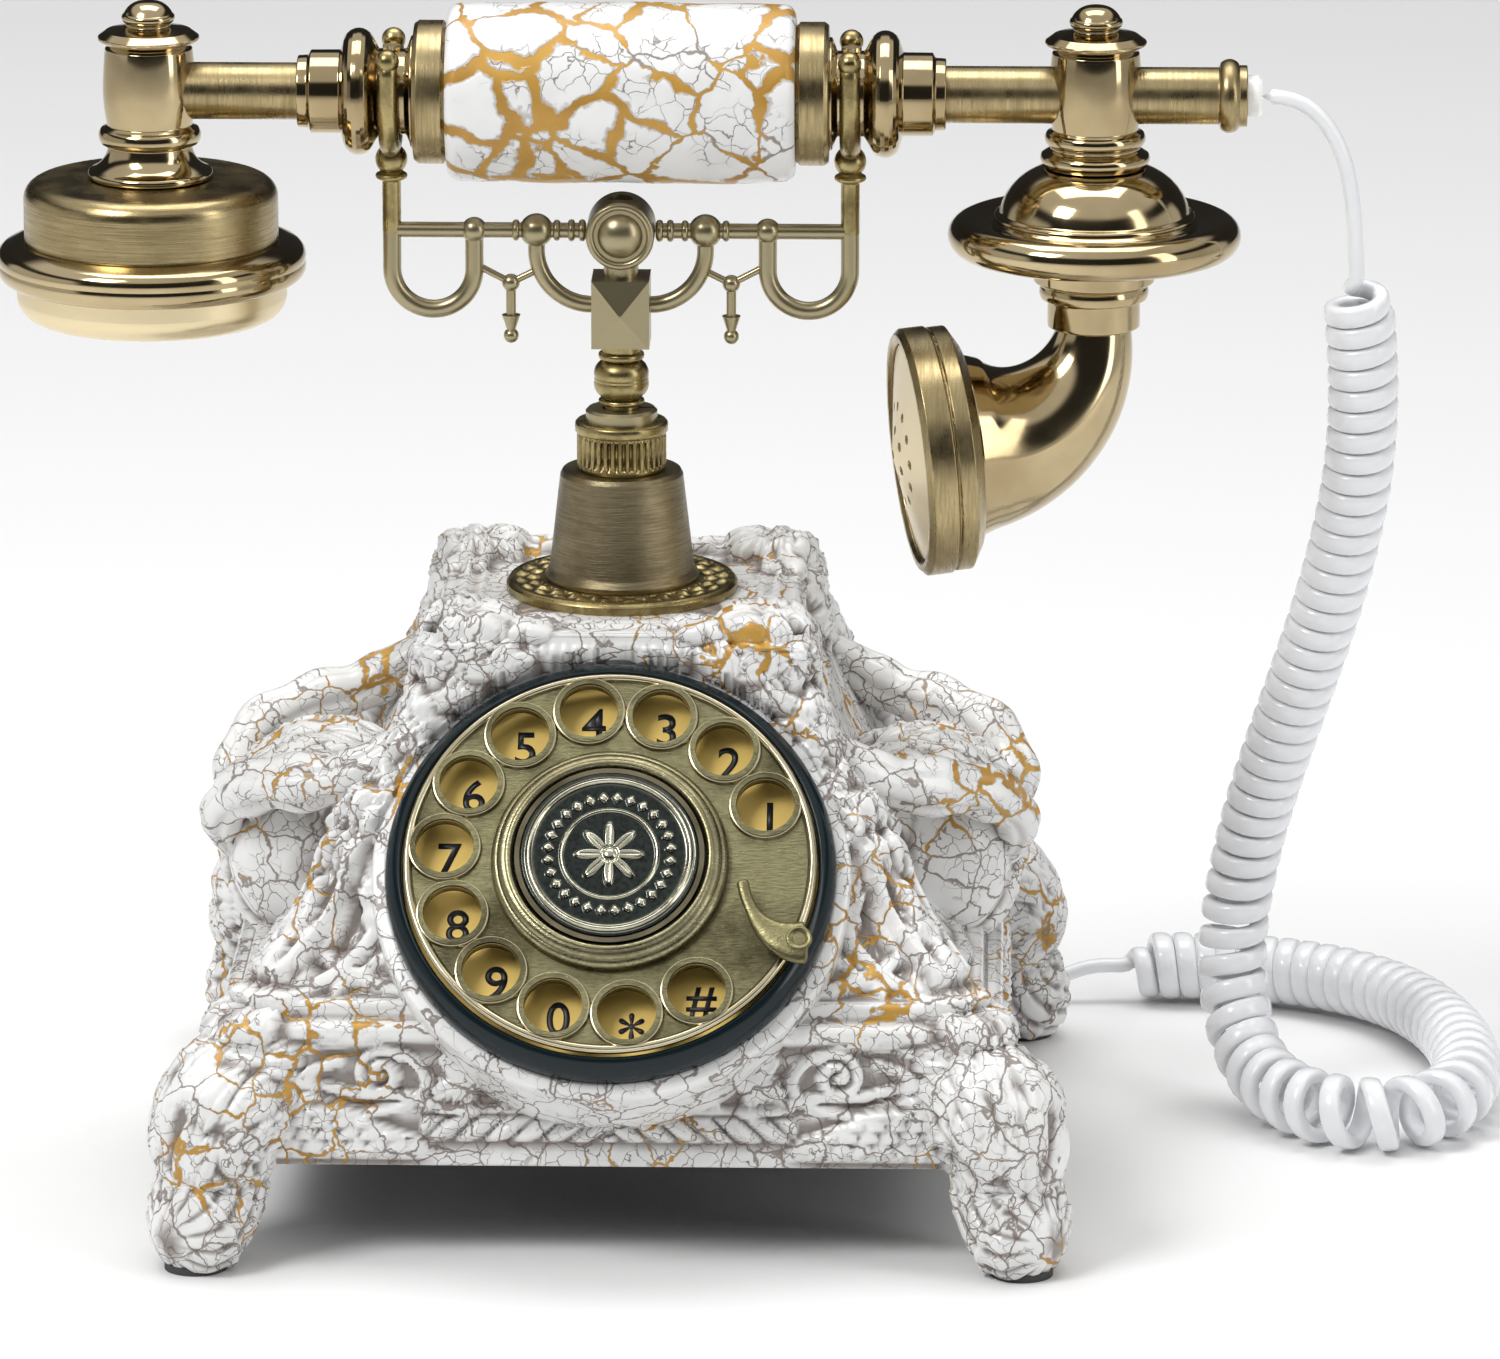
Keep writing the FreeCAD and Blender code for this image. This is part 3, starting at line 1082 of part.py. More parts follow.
def route_wire(points):
    """Straight runs joined by tangent arcs, each as large as its two runs allow."""
    spots = [FreeCAD.Vector(*point) for point in points]
    edges, radii = [], []
    last = spots[0]
    for before, corner, after in zip(spots, spots[1:], spots[2:]):
        inward, outward = corner - before, after - corner
        shorter = min(inward.Length, outward.Length)
        turn_angle = inward.getAngle(outward)
        trim = 0.45 * shorter
        radius = trim / math.tan(turn_angle / 2)
        radii.append(round(radius, 1))
        inward.normalize()
        outward.normalize()
        start, end = corner - inward * trim, corner + outward * trim
        middle_way = (outward - inward)
        middle_way.normalize()
        gap = radius / math.cos(turn_angle / 2) - radius
        edges.append(Part.LineSegment(last, start).toShape())
        edges.append(Part.Arc(start, corner + middle_way * gap, end).toShape())
        last = end
    edges.append(Part.LineSegment(last, spots[-1]).toShape())
    return Part.Wire(edges), radii


def tube(label, points, radius):
    """A round tube along a cord's route."""
    path, radii = route_wire(points)
    along = FreeCAD.Vector(*points[1]) - FreeCAD.Vector(*points[0])
    ring = Part.Wire([Part.makeCircle(radius, FreeCAD.Vector(*points[0]), along)])
    solid = path.makePipeShell([ring], True, False)
    solid = solid if solid.ShapeType == "Solid" else Part.Solid(solid)
    expected = math.pi * radius * radius * path.Length
    print(label, "length", round(path.Length, 1), "radii", radii, "volume ratio",
          round(solid.Volume / expected, 4))
    keep(label, feature(solid))


def cords():
    """The handset's lead, the curled cord, the lead to the base and its plug."""
    tube("handset_lead", HANDSET_LEAD, v.lead_radius.value)
    tube("curly_cord", CURL, v.curl_radius.value)
    tube("base_lead", BASE_LEAD, v.lead_radius.value)
    outside = v.plinth_half + 0.5
    inner_end = v.plinth_half - v.socket_deep + 1
    plug_end = BASE_LEAD[-1][1]
    nose = centred_box(v.handset_socket - v.fit_gap * 2, outside - inner_end,
                       v.socket_tall - v.fit_gap * 2, v.jack_out, (outside + inner_end) / 2,
                       v.jack_height - v.socket_tall / 2 + v.fit_gap)
    body = centred_box(8.4, 9, 7.4, v.jack_out, outside + 4.5, v.jack_height - 3.7)
    relief = cone(3.2, v.lead_radius, plug_end - outside - 9, (v.jack_out, outside + 9,
                                                              v.jack_height), turn("X", -90))
    keep("base_plug", fuse(nose, body, relief))


def check_and_write():
    """Stops on any failed object, then writes each sub-part."""
    doc.recompute()
    failed = [item.Name + " " + str(item.State) for item in doc.Objects
              if "Invalid" in item.State or "Error" in item.State]
    if failed:
        raise RuntimeError("failed objects: " + ", ".join(failed))
    os.makedirs("parts", exist_ok=True)
    for part in parts:
        shape = part.Shape
        if shape.isNull() or not shape.isValid() or not shape.Solids:
            raise RuntimeError("bad shape: " + part.Label)
    for part in parts:
        part.Shape.exportStep(os.path.join("parts", part.Label + ".step"))
    print(len(parts), "sub-parts written")


base_shell()
bottom_cover()
base_fittings()
dial_fixed()
inner_screws()
dial_turning()
button()
redial_lever()
stem()
cradle()
handset_bar()
receiver()
finials()
microphone()
cords()
check_and_write()
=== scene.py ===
"""Looks of the rotary telephone: turned brass, carved crackle resin, dial, cords and their materials.

Lengths in this file are millimetres in the part's own frame (X right, the dial faces -Y, +Z up)
until form_to_piece() makes a mesh of them in metres. A "form" is a pair (points, faces).
"""
import math

import bmesh
import bpy
import numpy as np
from mathutils import Matrix, Vector

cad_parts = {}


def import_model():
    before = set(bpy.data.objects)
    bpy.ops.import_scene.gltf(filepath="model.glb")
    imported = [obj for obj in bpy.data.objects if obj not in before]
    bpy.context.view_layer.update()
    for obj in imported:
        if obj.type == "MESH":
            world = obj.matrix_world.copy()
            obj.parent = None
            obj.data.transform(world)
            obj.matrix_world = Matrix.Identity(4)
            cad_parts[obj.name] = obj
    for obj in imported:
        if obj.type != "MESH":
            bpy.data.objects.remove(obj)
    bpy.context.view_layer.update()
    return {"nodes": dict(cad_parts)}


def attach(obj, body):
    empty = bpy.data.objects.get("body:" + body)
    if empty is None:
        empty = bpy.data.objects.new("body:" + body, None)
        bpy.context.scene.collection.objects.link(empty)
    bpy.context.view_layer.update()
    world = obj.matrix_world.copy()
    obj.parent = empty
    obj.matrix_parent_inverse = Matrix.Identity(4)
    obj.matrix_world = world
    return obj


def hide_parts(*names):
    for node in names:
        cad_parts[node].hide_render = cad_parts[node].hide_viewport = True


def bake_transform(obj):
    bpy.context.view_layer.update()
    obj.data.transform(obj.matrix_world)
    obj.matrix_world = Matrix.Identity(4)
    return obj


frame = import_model()
MM = 0.001
NODES = frame["nodes"]

# ---------------------------------------------------------------- places taken from the frame

SHIFT = 0.3                                  # the handset lies this far to the right in its forks
HANDSET = (SHIFT, 0.0, 247.0)                # middle of the handset's axis
POST = 106.0                                 # receiver and microphone axes from the middle
DIAL = (0.0, -74.1, 88.7)                    # middle of the bezel's front edge
LEAN = math.radians(50.0)                    # turn about X that points the dial's axis outward
DECK = 132.5                                 # height of the base's deck
HOLE_ANGLES = [math.radians(22.0 + 25.5 * number) for number in range(12)]
PITCH = 36.8                                 # radius of the circle of finger holes


# ---------------------------------------------------------------- camera

def make_camera():
    """A long lens, 15 degrees above the horizon and slightly to the right, with no shift."""
    data = bpy.data.cameras.new("camera")
    data.lens = 253.6
    data.sensor_width = 36.0
    data.clip_end = 20.0
    camera = bpy.data.objects.new("camera", data)
    bpy.context.scene.collection.objects.link(camera)
    azimuth, elevation = math.radians(1.5), math.radians(15.0)
    back = Vector((math.sin(azimuth) * math.cos(elevation),
                   -math.cos(azimuth) * math.cos(elevation), math.sin(elevation)))
    camera.location = Vector((0.029, 0.0, 0.1112)) + back * 2.4
    camera.rotation_mode = "QUATERNION"
    camera.rotation_quaternion = (-back).to_track_quat("-Z", "Y")
    bpy.context.scene.camera = camera


make_camera()


# ---------------------------------------------------------------- forms

def grid_form(points, wrap_u=False, wrap_v=False):
    """A form from a grid of points [u, v, xyz]; a wrapped way is joined end to start."""
    count_u, count_v = points.shape[:2]
    u = np.arange(count_u if wrap_u else count_u - 1)
    w = np.arange(count_v if wrap_v else count_v - 1)
    a, b = (part.ravel() for part in np.meshgrid(u, w, indexing="ij"))
    a_next, b_next = (a + 1) % count_u, (b + 1) % count_v
    faces = np.stack([a * count_v + b, a_next * count_v + b, a_next * count_v + b_next,
                      a * count_v + b_next], axis=1)
    return points.reshape(-1, 3).astype(float), faces


def joined(forms):
    """Several forms as one."""
    points, faces, start = [], [], 0
    for form_points, form_faces in forms:
        points.append(form_points)
        faces.append(form_faces + start)
        start += len(form_points)
    return np.concatenate(points), np.concatenate(faces)


def turn_matrix(axis, degrees):
    return np.array(Matrix.Rotation(math.radians(degrees), 3, axis))


def moved(form, place=(0, 0, 0), rotation=None):
    """The form turned by a 3x3 matrix and then moved."""
    points, faces = form
    if rotation is not None:
        points = points @ rotation.T
    return points + np.array(place, float), faces


def mirrored(form):
    """The form on the other side of the YZ plane, with its faces still outward."""
    points, faces = form
    return points * np.array([-1.0, 1.0, 1.0]), faces[:, ::-1]


ALONG_X = turn_matrix("Y", 90)
TOWARD_FRONT = turn_matrix("X", 90)
IN_DIAL = turn_matrix("X", 50)


def in_dial(form):
    """A form made about the dial's axis, set in the dial."""
    return moved(form, DIAL, IN_DIAL)


def form_to_object(name, form, material, marks=None):
    """The form's mesh in metres, with its seams and poles welded, as an object of its own.

    Marks are values per point, by name, that its material reads as attributes.
    """
    points, faces = form
    mesh = bpy.data.meshes.new(name)
    mesh.from_pydata((points * MM).tolist(), [], faces.tolist())
    for label, values in (marks or {}).items():
        mesh.attributes.new(label, "FLOAT", "POINT").data.foreach_set("value", values.ravel())
    work = bmesh.new()
    work.from_mesh(mesh)
    bmesh.ops.remove_doubles(work, verts=work.verts, dist=2e-6)
    bmesh.ops.recalc_face_normals(work, faces=work.faces)
    work.to_mesh(mesh)
    work.free()
    mesh.polygons.foreach_set("use_smooth", np.ones(len(mesh.polygons), bool))
    mesh.materials.append(material)
    made = bpy.data.objects.new(name, mesh)
    bpy.context.scene.collection.objects.link(made)
    return made


def form_to_piece(name, form, body, material, stands_for=(), marks=None):
    """A piece that rides on its body, and replaces the CAD nodes that it stands for."""
    piece = form_to_object(name, form, material, marks)
    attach(piece, body)
    if stands_for:
        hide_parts(*stands_for)
    return piece


# ---------------------------------------------------------------- profiles

def bow(start, end, sag, count=8):
    """Points of an arc from start to end, start left out; sag swells it to the right of the way."""
    start, end = np.array(start, float), np.array(end, float)
    half = (end - start) / 2
    length = np.linalg.norm(half)
    side = np.array([half[1], -half[0]]) / length
    radius = (length ** 2 + sag ** 2) / (2 * abs(sag))
    centre = (start + end) / 2 - side * (radius - abs(sag)) * np.sign(sag)
    first, last = start - centre, end - centre
    sweep = math.atan2(first[0] * last[1] - first[1] * last[0], first @ last)
    angles = np.linspace(0, sweep, count + 1)[1:]
    turned = [(centre[0] + first[0] * math.cos(a) - first[1] * math.sin(a),
               centre[1] + first[0] * math.sin(a) + first[1] * math.cos(a)) for a in angles]
    return turned


def softened(corners, rounding=0.35):
    """Profile with its sharp corners rounded by short arcs, each held by a point either side."""
    spots = [np.array(corner, float) for corner in corners]
    out = [spots[0]]
    for before, corner, after in zip(spots, spots[1:], spots[2:]):
        inward, outward = corner - before, after - corner
        long_in, long_out = np.linalg.norm(inward), np.linalg.norm(outward)
        if long_in < 1e-6 or long_out < 1e-6:
            continue
        inward, outward = inward / long_in, outward / long_out
        bend = math.acos(max(-1.0, min(1.0, float(inward @ outward))))
        if bend < math.radians(14):
            out.append(corner)
            continue
        trim = min(rounding * math.tan(bend / 2), 0.35 * long_in, 0.35 * long_out)
        hold = min(0.3, 0.3 * long_in, 0.3 * long_out)
        start, end = corner - inward * trim, corner + outward * trim
        out.append(start - inward * hold)
        for share in np.linspace(0, 1, 5):
            out.append((1 - share) ** 2 * start + 2 * share * (1 - share) * corner + share ** 2 * end)
        out.append(end + outward * hold)
    out.append(spots[-1])
    return np.array(out)


def ease(value, low, high):
    """A smooth step from 0 at low to 1 at high."""
    share = np.clip((value - low) / (high - low), 0, 1)
    return share * share * (3 - 2 * share)


def lathe(profile, around=96, closed=False):
    """Turned about Z: a profile point (r, z) goes to (r cos a, r sin a, z) at every angle a."""
    profile = np.array(profile, float)
    angle = np.linspace(0, 2 * math.pi, around, endpoint=False)
    grid = np.stack([np.outer(np.cos(angle), profile[:, 0]), np.outer(np.sin(angle), profile[:, 0]),
                     np.broadcast_to(profile[:, 1], (around, len(profile)))], axis=2)
    return grid_form(grid, wrap_u=True, wrap_v=closed)


def ball(radius, centre=(0, 0, 0), around=40):
    """A sphere: a half circle turned about Z."""
    rise = np.linspace(-math.pi / 2, math.pi / 2, around // 2)
    return moved(lathe(np.stack([np.cos(rise) * radius, np.sin(rise) * radius], 1), around), centre)


def frames_along(path, up=(0, 0, 1)):
    """Tangent, side and normal at each point, carried along the path with the least twist."""
    tangent = np.gradient(path, axis=0)
    tangent /= np.linalg.norm(tangent, axis=1)[:, None]
    normal = np.array(up, float)
    normals = []
    for way in tangent:
        normal = normal - way * (normal @ way)
        normal /= np.linalg.norm(normal)
        normals.append(normal.copy())
    normals = np.array(normals)
    return tangent, np.cross(normals, tangent), normals


def sweep(path, radius, around=16, up=(0, 0, 1), capped=True):
    """A round tube: a circle of the given radius, or of one radius per point, along the path."""
    path = np.array(path, float)
    radius = np.broadcast_to(np.array(radius, float), (len(path),))
    if capped:
        path = np.concatenate([path[:1], path, path[-1:]])
        radius = np.concatenate([[0.0], radius, [0.0]])
        tangent, side, normal = frames_along(path[1:-1], up)
        side = np.concatenate([side[:1], side, side[-1:]])
        normal = np.concatenate([normal[:1], normal, normal[-1:]])
    else:
        tangent, side, normal = frames_along(path, up)
    angle = np.linspace(0, 2 * math.pi, around, endpoint=False)
    ring = (np.cos(angle)[:, None, None] * side[None] + np.sin(angle)[:, None, None] * normal[None])
    grid = path[None] + ring * radius[None, :, None]
    return grid_form(grid, wrap_u=True)


def arc_path(centre, radius, start, end, count, plane="XZ"):
    """Points of an arc, angles in degrees, in the XZ or YZ plane."""
    angle = np.radians(np.linspace(start, end, count))
    flat = np.stack([np.cos(angle) * radius, np.zeros(count), np.sin(angle) * radius], axis=1)
    if plane == "YZ":
        flat = flat[:, [1, 0, 2]]
    return flat + np.array(centre, float)


# ---------------------------------------------------------------- shader helpers

def add_node(tree, kind, settings=None, **values):
    """A node with its settings, and its named inputs set to numbers or linked to sockets."""
    node = tree.nodes.new(kind)
    for name, value in (settings or {}).items():
        setattr(node, name, value)
    for name, value in values.items():
        socket = node.inputs[int(name[1:])] if name[:1] == "i" and name[1:].isdigit() else \
            node.inputs[name.replace("_", " ")]
        if isinstance(value, bpy.types.NodeSocket):
            tree.links.new(value, socket)
        else:
            socket.default_value = value
    return node


def maths(tree, operation, first, second=0.0, third=0.0, clamp=False):
    node = add_node(tree, "ShaderNodeMath", {"operation": operation, "use_clamp": clamp},
                    i0=first, i1=second, i2=third)
    return node.outputs[0]


def ramp(tree, value, low, high):
    """A smooth step from 0 at low to 1 at high; low may be above high."""
    node = add_node(tree, "ShaderNodeMapRange", {"interpolation_type": "SMOOTHSTEP"}, Value=value,
                    i1=low, i2=high, i3=0.0, i4=1.0)
    return node.outputs[0]


def mix_colour(tree, share, first, second):
    node = add_node(tree, "ShaderNodeMix", {"data_type": "RGBA"})
    for index, value in ((0, share), (6, first), (7, second)):
        if isinstance(value, bpy.types.NodeSocket):
            tree.links.new(value, node.inputs[index])
        else:
            node.inputs[index].default_value = value
    return node.outputs[2]


def colour(red, green, blue):
    return (red, green, blue, 1.0)


def new_group(name, inputs, outputs):
    """A shader node group with named inputs (kind, default) and outputs."""
    tree = bpy.data.node_groups.new(name, "ShaderNodeTree")
    for label, (kind, default) in inputs.items():
        socket = tree.interface.new_socket(label, in_out="INPUT", socket_type=kind)
        if default is not None:
            socket.default_value = default
    for label, kind in outputs.items():
        tree.interface.new_socket(label, in_out="OUTPUT", socket_type=kind)
    return tree, tree.nodes.new("NodeGroupInput").outputs, tree.nodes.new("NodeGroupOutput").inputs


VECTOR, NUMBER, COLOUR = "NodeSocketVector", "NodeSocketFloat", "NodeSocketColor"


def build_crackle_group():
    """Crackled lacquer: cells with wide gold-filled cracks and fine dark hairlines between them.

    Gold is 1 near the edges of large cells, where a slow noise opens them; Line is 1 at the
    edges of large and small cells; Height falls into both.
    """
    tree, given, out = new_group("crackle", {
        "Vector": (VECTOR, None), "Cells": (NUMBER, 90.0), "Fine cells": (NUMBER, 260.0),
        "Gold width": (NUMBER, 0.1), "Gold share": (NUMBER, 0.5), "Line width": (NUMBER, 0.05),
        "Fine share": (NUMBER, 0.6)},
        {"Gold": NUMBER, "Line": NUMBER, "Height": NUMBER, "Mottle": NUMBER})
    link = tree.links.new
    warp = add_node(tree, "ShaderNodeTexNoise", Vector=given["Vector"], Scale=170.0, Detail=3.0)
    centred = add_node(tree, "ShaderNodeVectorMath", {"operation": "SUBTRACT"},
                       i0=warp.outputs["Color"], i1=(0.5, 0.5, 0.5))
    small = add_node(tree, "ShaderNodeVectorMath", {"operation": "SCALE"}, i0=centred.outputs[0],
                     Scale=0.006)
    spot = add_node(tree, "ShaderNodeVectorMath", {"operation": "ADD"}, i0=given["Vector"],
                    i1=small.outputs[0]).outputs[0]
    large = add_node(tree, "ShaderNodeTexVoronoi", {"feature": "DISTANCE_TO_EDGE"}, Vector=spot,
                     Scale=given["Cells"]).outputs["Distance"]
    fine = add_node(tree, "ShaderNodeTexVoronoi", {"feature": "DISTANCE_TO_EDGE"}, Vector=spot,
                    Scale=given["Fine cells"]).outputs["Distance"]
    slow = add_node(tree, "ShaderNodeTexNoise", Vector=given["Vector"], Scale=38.0,
                    Detail=2.0).outputs["Fac"]
    quick = add_node(tree, "ShaderNodeTexNoise", Vector=given["Vector"], Scale=85.0,
                     Detail=2.0).outputs["Fac"]
    opened = ramp(tree, slow, maths(tree, "SUBTRACT", 0.78, given["Gold share"]),
                  maths(tree, "SUBTRACT", 1.0, given["Gold share"]))
    width = maths(tree, "MULTIPLY", given["Gold width"], opened)
    width = maths(tree, "MAXIMUM", width, 0.0005)
    gold = ramp(tree, maths(tree, "DIVIDE", large, width), 1.0, 0.72)
    gold = maths(tree, "MULTIPLY", gold, ramp(tree, opened, 0.05, 0.2))
    coarse_line = ramp(tree, maths(tree, "DIVIDE", large, given["Line width"]), 1.0, 0.35)
    seen = ramp(tree, quick, maths(tree, "SUBTRACT", 0.85, given["Fine share"]),
                maths(tree, "SUBTRACT", 1.0, given["Fine share"]))
    fine_line = ramp(tree, maths(tree, "DIVIDE", fine, given["Line width"]), 1.1, 0.3)
    fine_line = maths(tree, "MULTIPLY", fine_line, seen)
    line = maths(tree, "MAXIMUM", coarse_line, fine_line)
    edge = ramp(tree, maths(tree, "DIVIDE", large, width), 1.35, 1.0)
    edge = maths(tree, "MULTIPLY", edge, ramp(tree, opened, 0.05, 0.2))
    line = maths(tree, "MAXIMUM", line, maths(tree, "MULTIPLY", edge, 0.55))
    dip = maths(tree, "MAXIMUM", maths(tree, "MULTIPLY", gold, 0.8), maths(tree, "MULTIPLY", line, 0.7))
    link(gold, out["Gold"])
    link(line, out["Line"])
    link(maths(tree, "SUBTRACT", 1.0, dip), out["Height"])
    link(quick, out["Mottle"])
    return tree


def build_tarnish_group():
    """Tarnish and fingermarks on metal: Dark is slow blotches, Rough is finer smears."""
    tree, given, out = new_group("tarnish", {"Vector": (VECTOR, None), "Size": (NUMBER, 60.0)},
                                 {"Dark": NUMBER, "Rough": NUMBER})
    slow = add_node(tree, "ShaderNodeTexNoise", Vector=given["Vector"], Scale=given["Size"],
                    Detail=4.0, Roughness=0.6).outputs["Fac"]
    smear = add_node(tree, "ShaderNodeTexNoise", Vector=given["Vector"],
                     Scale=maths(tree, "MULTIPLY", given["Size"], 4.0), Detail=3.0).outputs["Fac"]
    tree.links.new(ramp(tree, slow, 0.35, 0.7), out["Dark"])
    tree.links.new(ramp(tree, smear, 0.3, 0.75), out["Rough"])
    return tree


def build_brushed_group():
    """Brush strokes: noise squeezed across the stroke, by a stretch given per axis."""
    tree, given, out = new_group("brushed", {"Vector": (VECTOR, None),
                                             "Stretch": (VECTOR, (1.0, 1.0, 1.0))},
                                 {"Stroke": NUMBER, "Scratch": NUMBER})
    squeezed = add_node(tree, "ShaderNodeVectorMath", {"operation": "MULTIPLY"},
                        i0=given["Vector"], i1=given["Stretch"]).outputs[0]
    stroke = add_node(tree, "ShaderNodeTexNoise", Vector=squeezed, Scale=1.0, Detail=5.0,
                      Roughness=0.65).outputs["Fac"]
    scratch = add_node(tree, "ShaderNodeTexNoise", Vector=squeezed, Scale=2.7,
                       Detail=2.0).outputs["Fac"]
    tree.links.new(ramp(tree, stroke, 0.25, 0.75), out["Stroke"])
    tree.links.new(ramp(tree, scratch, 0.6, 0.72), out["Scratch"])
    return tree


CRACKLE = build_crackle_group()
TARNISH = build_tarnish_group()
BRUSHED = build_brushed_group()


def new_material(name, base=(0.5, 0.5, 0.5), metallic=0.0, roughness=0.4, coat=0.0):
    """A material with one Principled shader; its tree, its shader and its Object coordinates."""
    material = bpy.data.materials.new(name)
    material.use_nodes = True
    tree = material.node_tree
    shader = tree.nodes["Principled BSDF"]
    shader.inputs["Base Color"].default_value = colour(*base)
    shader.inputs["Metallic"].default_value = metallic
    shader.inputs["Roughness"].default_value = roughness
    shader.inputs["Coat Weight"].default_value = coat
    shader.inputs["Coat Roughness"].default_value = 0.06
    spot = tree.nodes.new("ShaderNodeTexCoord").outputs["Object"]
    return material, tree, shader, spot


def place_group(tree, group, **values):
    node = add_node(tree, "ShaderNodeGroup", {"node_tree": group}, **values)
    return node.outputs


def bump(tree, shader, height, strength, distance=0.001):
    node = add_node(tree, "ShaderNodeBump", Height=height, Strength=strength, Distance=distance)
    tree.links.new(node.outputs[0], shader.inputs["Normal"])


def metal(name, bright, dark, roughness, size=60.0, stretch=None, stroke_depth=0.25,
          smear=0.12, blotch=0.6):
    """Brass with tarnish between two colours, smeared gloss and, if stretched, brush strokes."""
    material, tree, shader, spot = new_material(name, bright, 1.0, roughness)
    tarnish = place_group(tree, TARNISH, Vector=spot, Size=size)
    dark_share = maths(tree, "MULTIPLY", tarnish["Dark"], blotch)
    surface = mix_colour(tree, dark_share, colour(*bright), colour(*dark))
    rough = maths(tree, "MULTIPLY_ADD", tarnish["Rough"], smear, roughness)
    if stretch:
        brushed = place_group(tree, BRUSHED, Vector=spot, Stretch=stretch)
        deep = maths(tree, "MULTIPLY", brushed["Stroke"], 0.45)
        surface = mix_colour(tree, deep, surface, colour(*(part * 0.45 for part in dark)))
        shine = maths(tree, "MULTIPLY", brushed["Scratch"], 0.35)
        surface = mix_colour(tree, shine, surface, colour(*(min(1.0, part * 1.3) for part in bright)))
        rough = maths(tree, "MULTIPLY_ADD", brushed["Stroke"], 0.1, rough)
        bump(tree, shader, brushed["Stroke"], stroke_depth, 0.0002)
    else:
        bump(tree, shader, tarnish["Rough"], 0.03, 0.0002)
    tree.links.new(surface, shader.inputs["Base Color"])
    tree.links.new(rough, shader.inputs["Roughness"])
    return material


def crackle(name, cells, fine_cells, gold_width, gold_share, line_width, fine_share, relief=False):
    """White crackle lacquer over resin, with gold in the wide cracks and painted shade darkening the
    carving's hollows.
    """
    material, tree, shader, spot = new_material(name, (0.86, 0.86, 0.84), 0.0, 0.34, 0.25)
    made = place_group(tree, CRACKLE, Vector=spot, Cells=cells, Fine_cells=fine_cells,
                       Gold_width=gold_width, Gold_share=gold_share, Line_width=line_width,
                       Fine_share=fine_share)
    white = mix_colour(tree, ramp(tree, made["Mottle"], 0.3, 0.7), colour(0.83, 0.83, 0.82),
                       colour(0.75, 0.75, 0.74))
    if relief:
        # Painted shade: this per-point attribute darkens the white toward dark brown in the carving's
        # hollows.
        depth = add_node(tree, "ShaderNodeAttribute", {"attribute_name": "recess_shade"}).outputs["Fac"]
        white = mix_colour(tree, maths(tree, "MULTIPLY", depth, 0.85), white, colour(0.15, 0.115, 0.095))
    lined = mix_colour(tree, maths(tree, "MULTIPLY", made["Line"], 0.8), white,
                       colour(0.15, 0.10, 0.075))
    golden = mix_colour(tree, made["Mottle"], colour(0.34, 0.165, 0.03), colour(0.66, 0.39, 0.07))
    surface = mix_colour(tree, made["Gold"], lined, golden)
    tree.links.new(surface, shader.inputs["Base Color"])
    tree.links.new(maths(tree, "MULTIPLY", made["Gold"], 0.35), shader.inputs["Metallic"])
    rough = maths(tree, "MULTIPLY_ADD", made["Line"], 0.3, 0.3)
    tree.links.new(rough, shader.inputs["Roughness"])
    bump(tree, shader, made["Height"], 0.55, 0.0006)
    return material


def plain(name, base, roughness, grain=900.0, depth=0.08, coat=0.0, metallic=0.0, vary=0.12):
    """A moulded or plated surface with fine grain in its colour, gloss and height."""
    material, tree, shader, spot = new_material(name, base, metallic, roughness, coat)
    fine = add_node(tree, "ShaderNodeTexNoise", Vector=spot, Scale=grain, Detail=3.0).outputs["Fac"]
    slow = add_node(tree, "ShaderNodeTexNoise", Vector=spot, Scale=grain / 12, Detail=2.0).outputs["Fac"]
    darker = colour(*(part * (1 - vary) for part in base))
    tree.links.new(mix_colour(tree, slow, colour(*base), darker), shader.inputs["Base Color"])
    tree.links.new(maths(tree, "MULTIPLY_ADD", slow, 0.12, roughness - 0.05),
                   shader.inputs["Roughness"])
    bump(tree, shader, fine, depth, 0.0002)
    return material


POLISHED = metal("polished_brass", (0.52, 0.42, 0.25), (0.24, 0.17, 0.075), 0.08, size=25.0,
                 smear=0.08, blotch=0.55)
BRUSHED_BELL = metal("brushed_receiver", (0.47, 0.375, 0.20), (0.22, 0.16, 0.07), 0.17, size=30.0,
                     stretch=(60.0, 60.0, 2200.0), stroke_depth=0.1, blotch=0.3)
BRUSHED_LIP = metal("brushed_lip", (0.47, 0.375, 0.20), (0.22, 0.16, 0.07), 0.2, size=40.0,
                    stretch=(1800.0, 120.0, 120.0), stroke_depth=0.12, blotch=0.3)
BRUSHED_GOLD = metal("brushed_gold", (0.47, 0.375, 0.20), (0.22, 0.16, 0.07), 0.20, size=40.0,
                     stretch=(1500.0, 90.0, 90.0), stroke_depth=0.12, blotch=0.3)
ANTIQUE = metal("antique_brass", (0.40, 0.325, 0.15), (0.12, 0.085, 0.035), 0.24, size=110.0,
                smear=0.15, blotch=0.75)
BELL = metal("bell_brass", (0.30, 0.25, 0.15), (0.09, 0.065, 0.035), 0.26, size=50.0,
             stretch=(120.0, 120.0, 2600.0), stroke_depth=0.3, blotch=0.5)
WHEEL = metal("wheel_brass", (0.20, 0.185, 0.10), (0.045, 0.038, 0.02), 0.25, size=45.0,
              stretch=(420.0, 2300.0, 1900.0), stroke_depth=0.35, blotch=0.9)
RING = metal("ring_brass", (0.40, 0.37, 0.22), (0.12, 0.10, 0.055), 0.2, size=60.0,
             stretch=(500.0, 2300.0, 1900.0), stroke_depth=0.15, blotch=0.6)
LEVER = metal("lever_brass", (0.27, 0.245, 0.125), (0.07, 0.058, 0.03), 0.22, size=90.0,
              stretch=(900.0, 2600.0, 2300.0), stroke_depth=0.2, blotch=0.6)
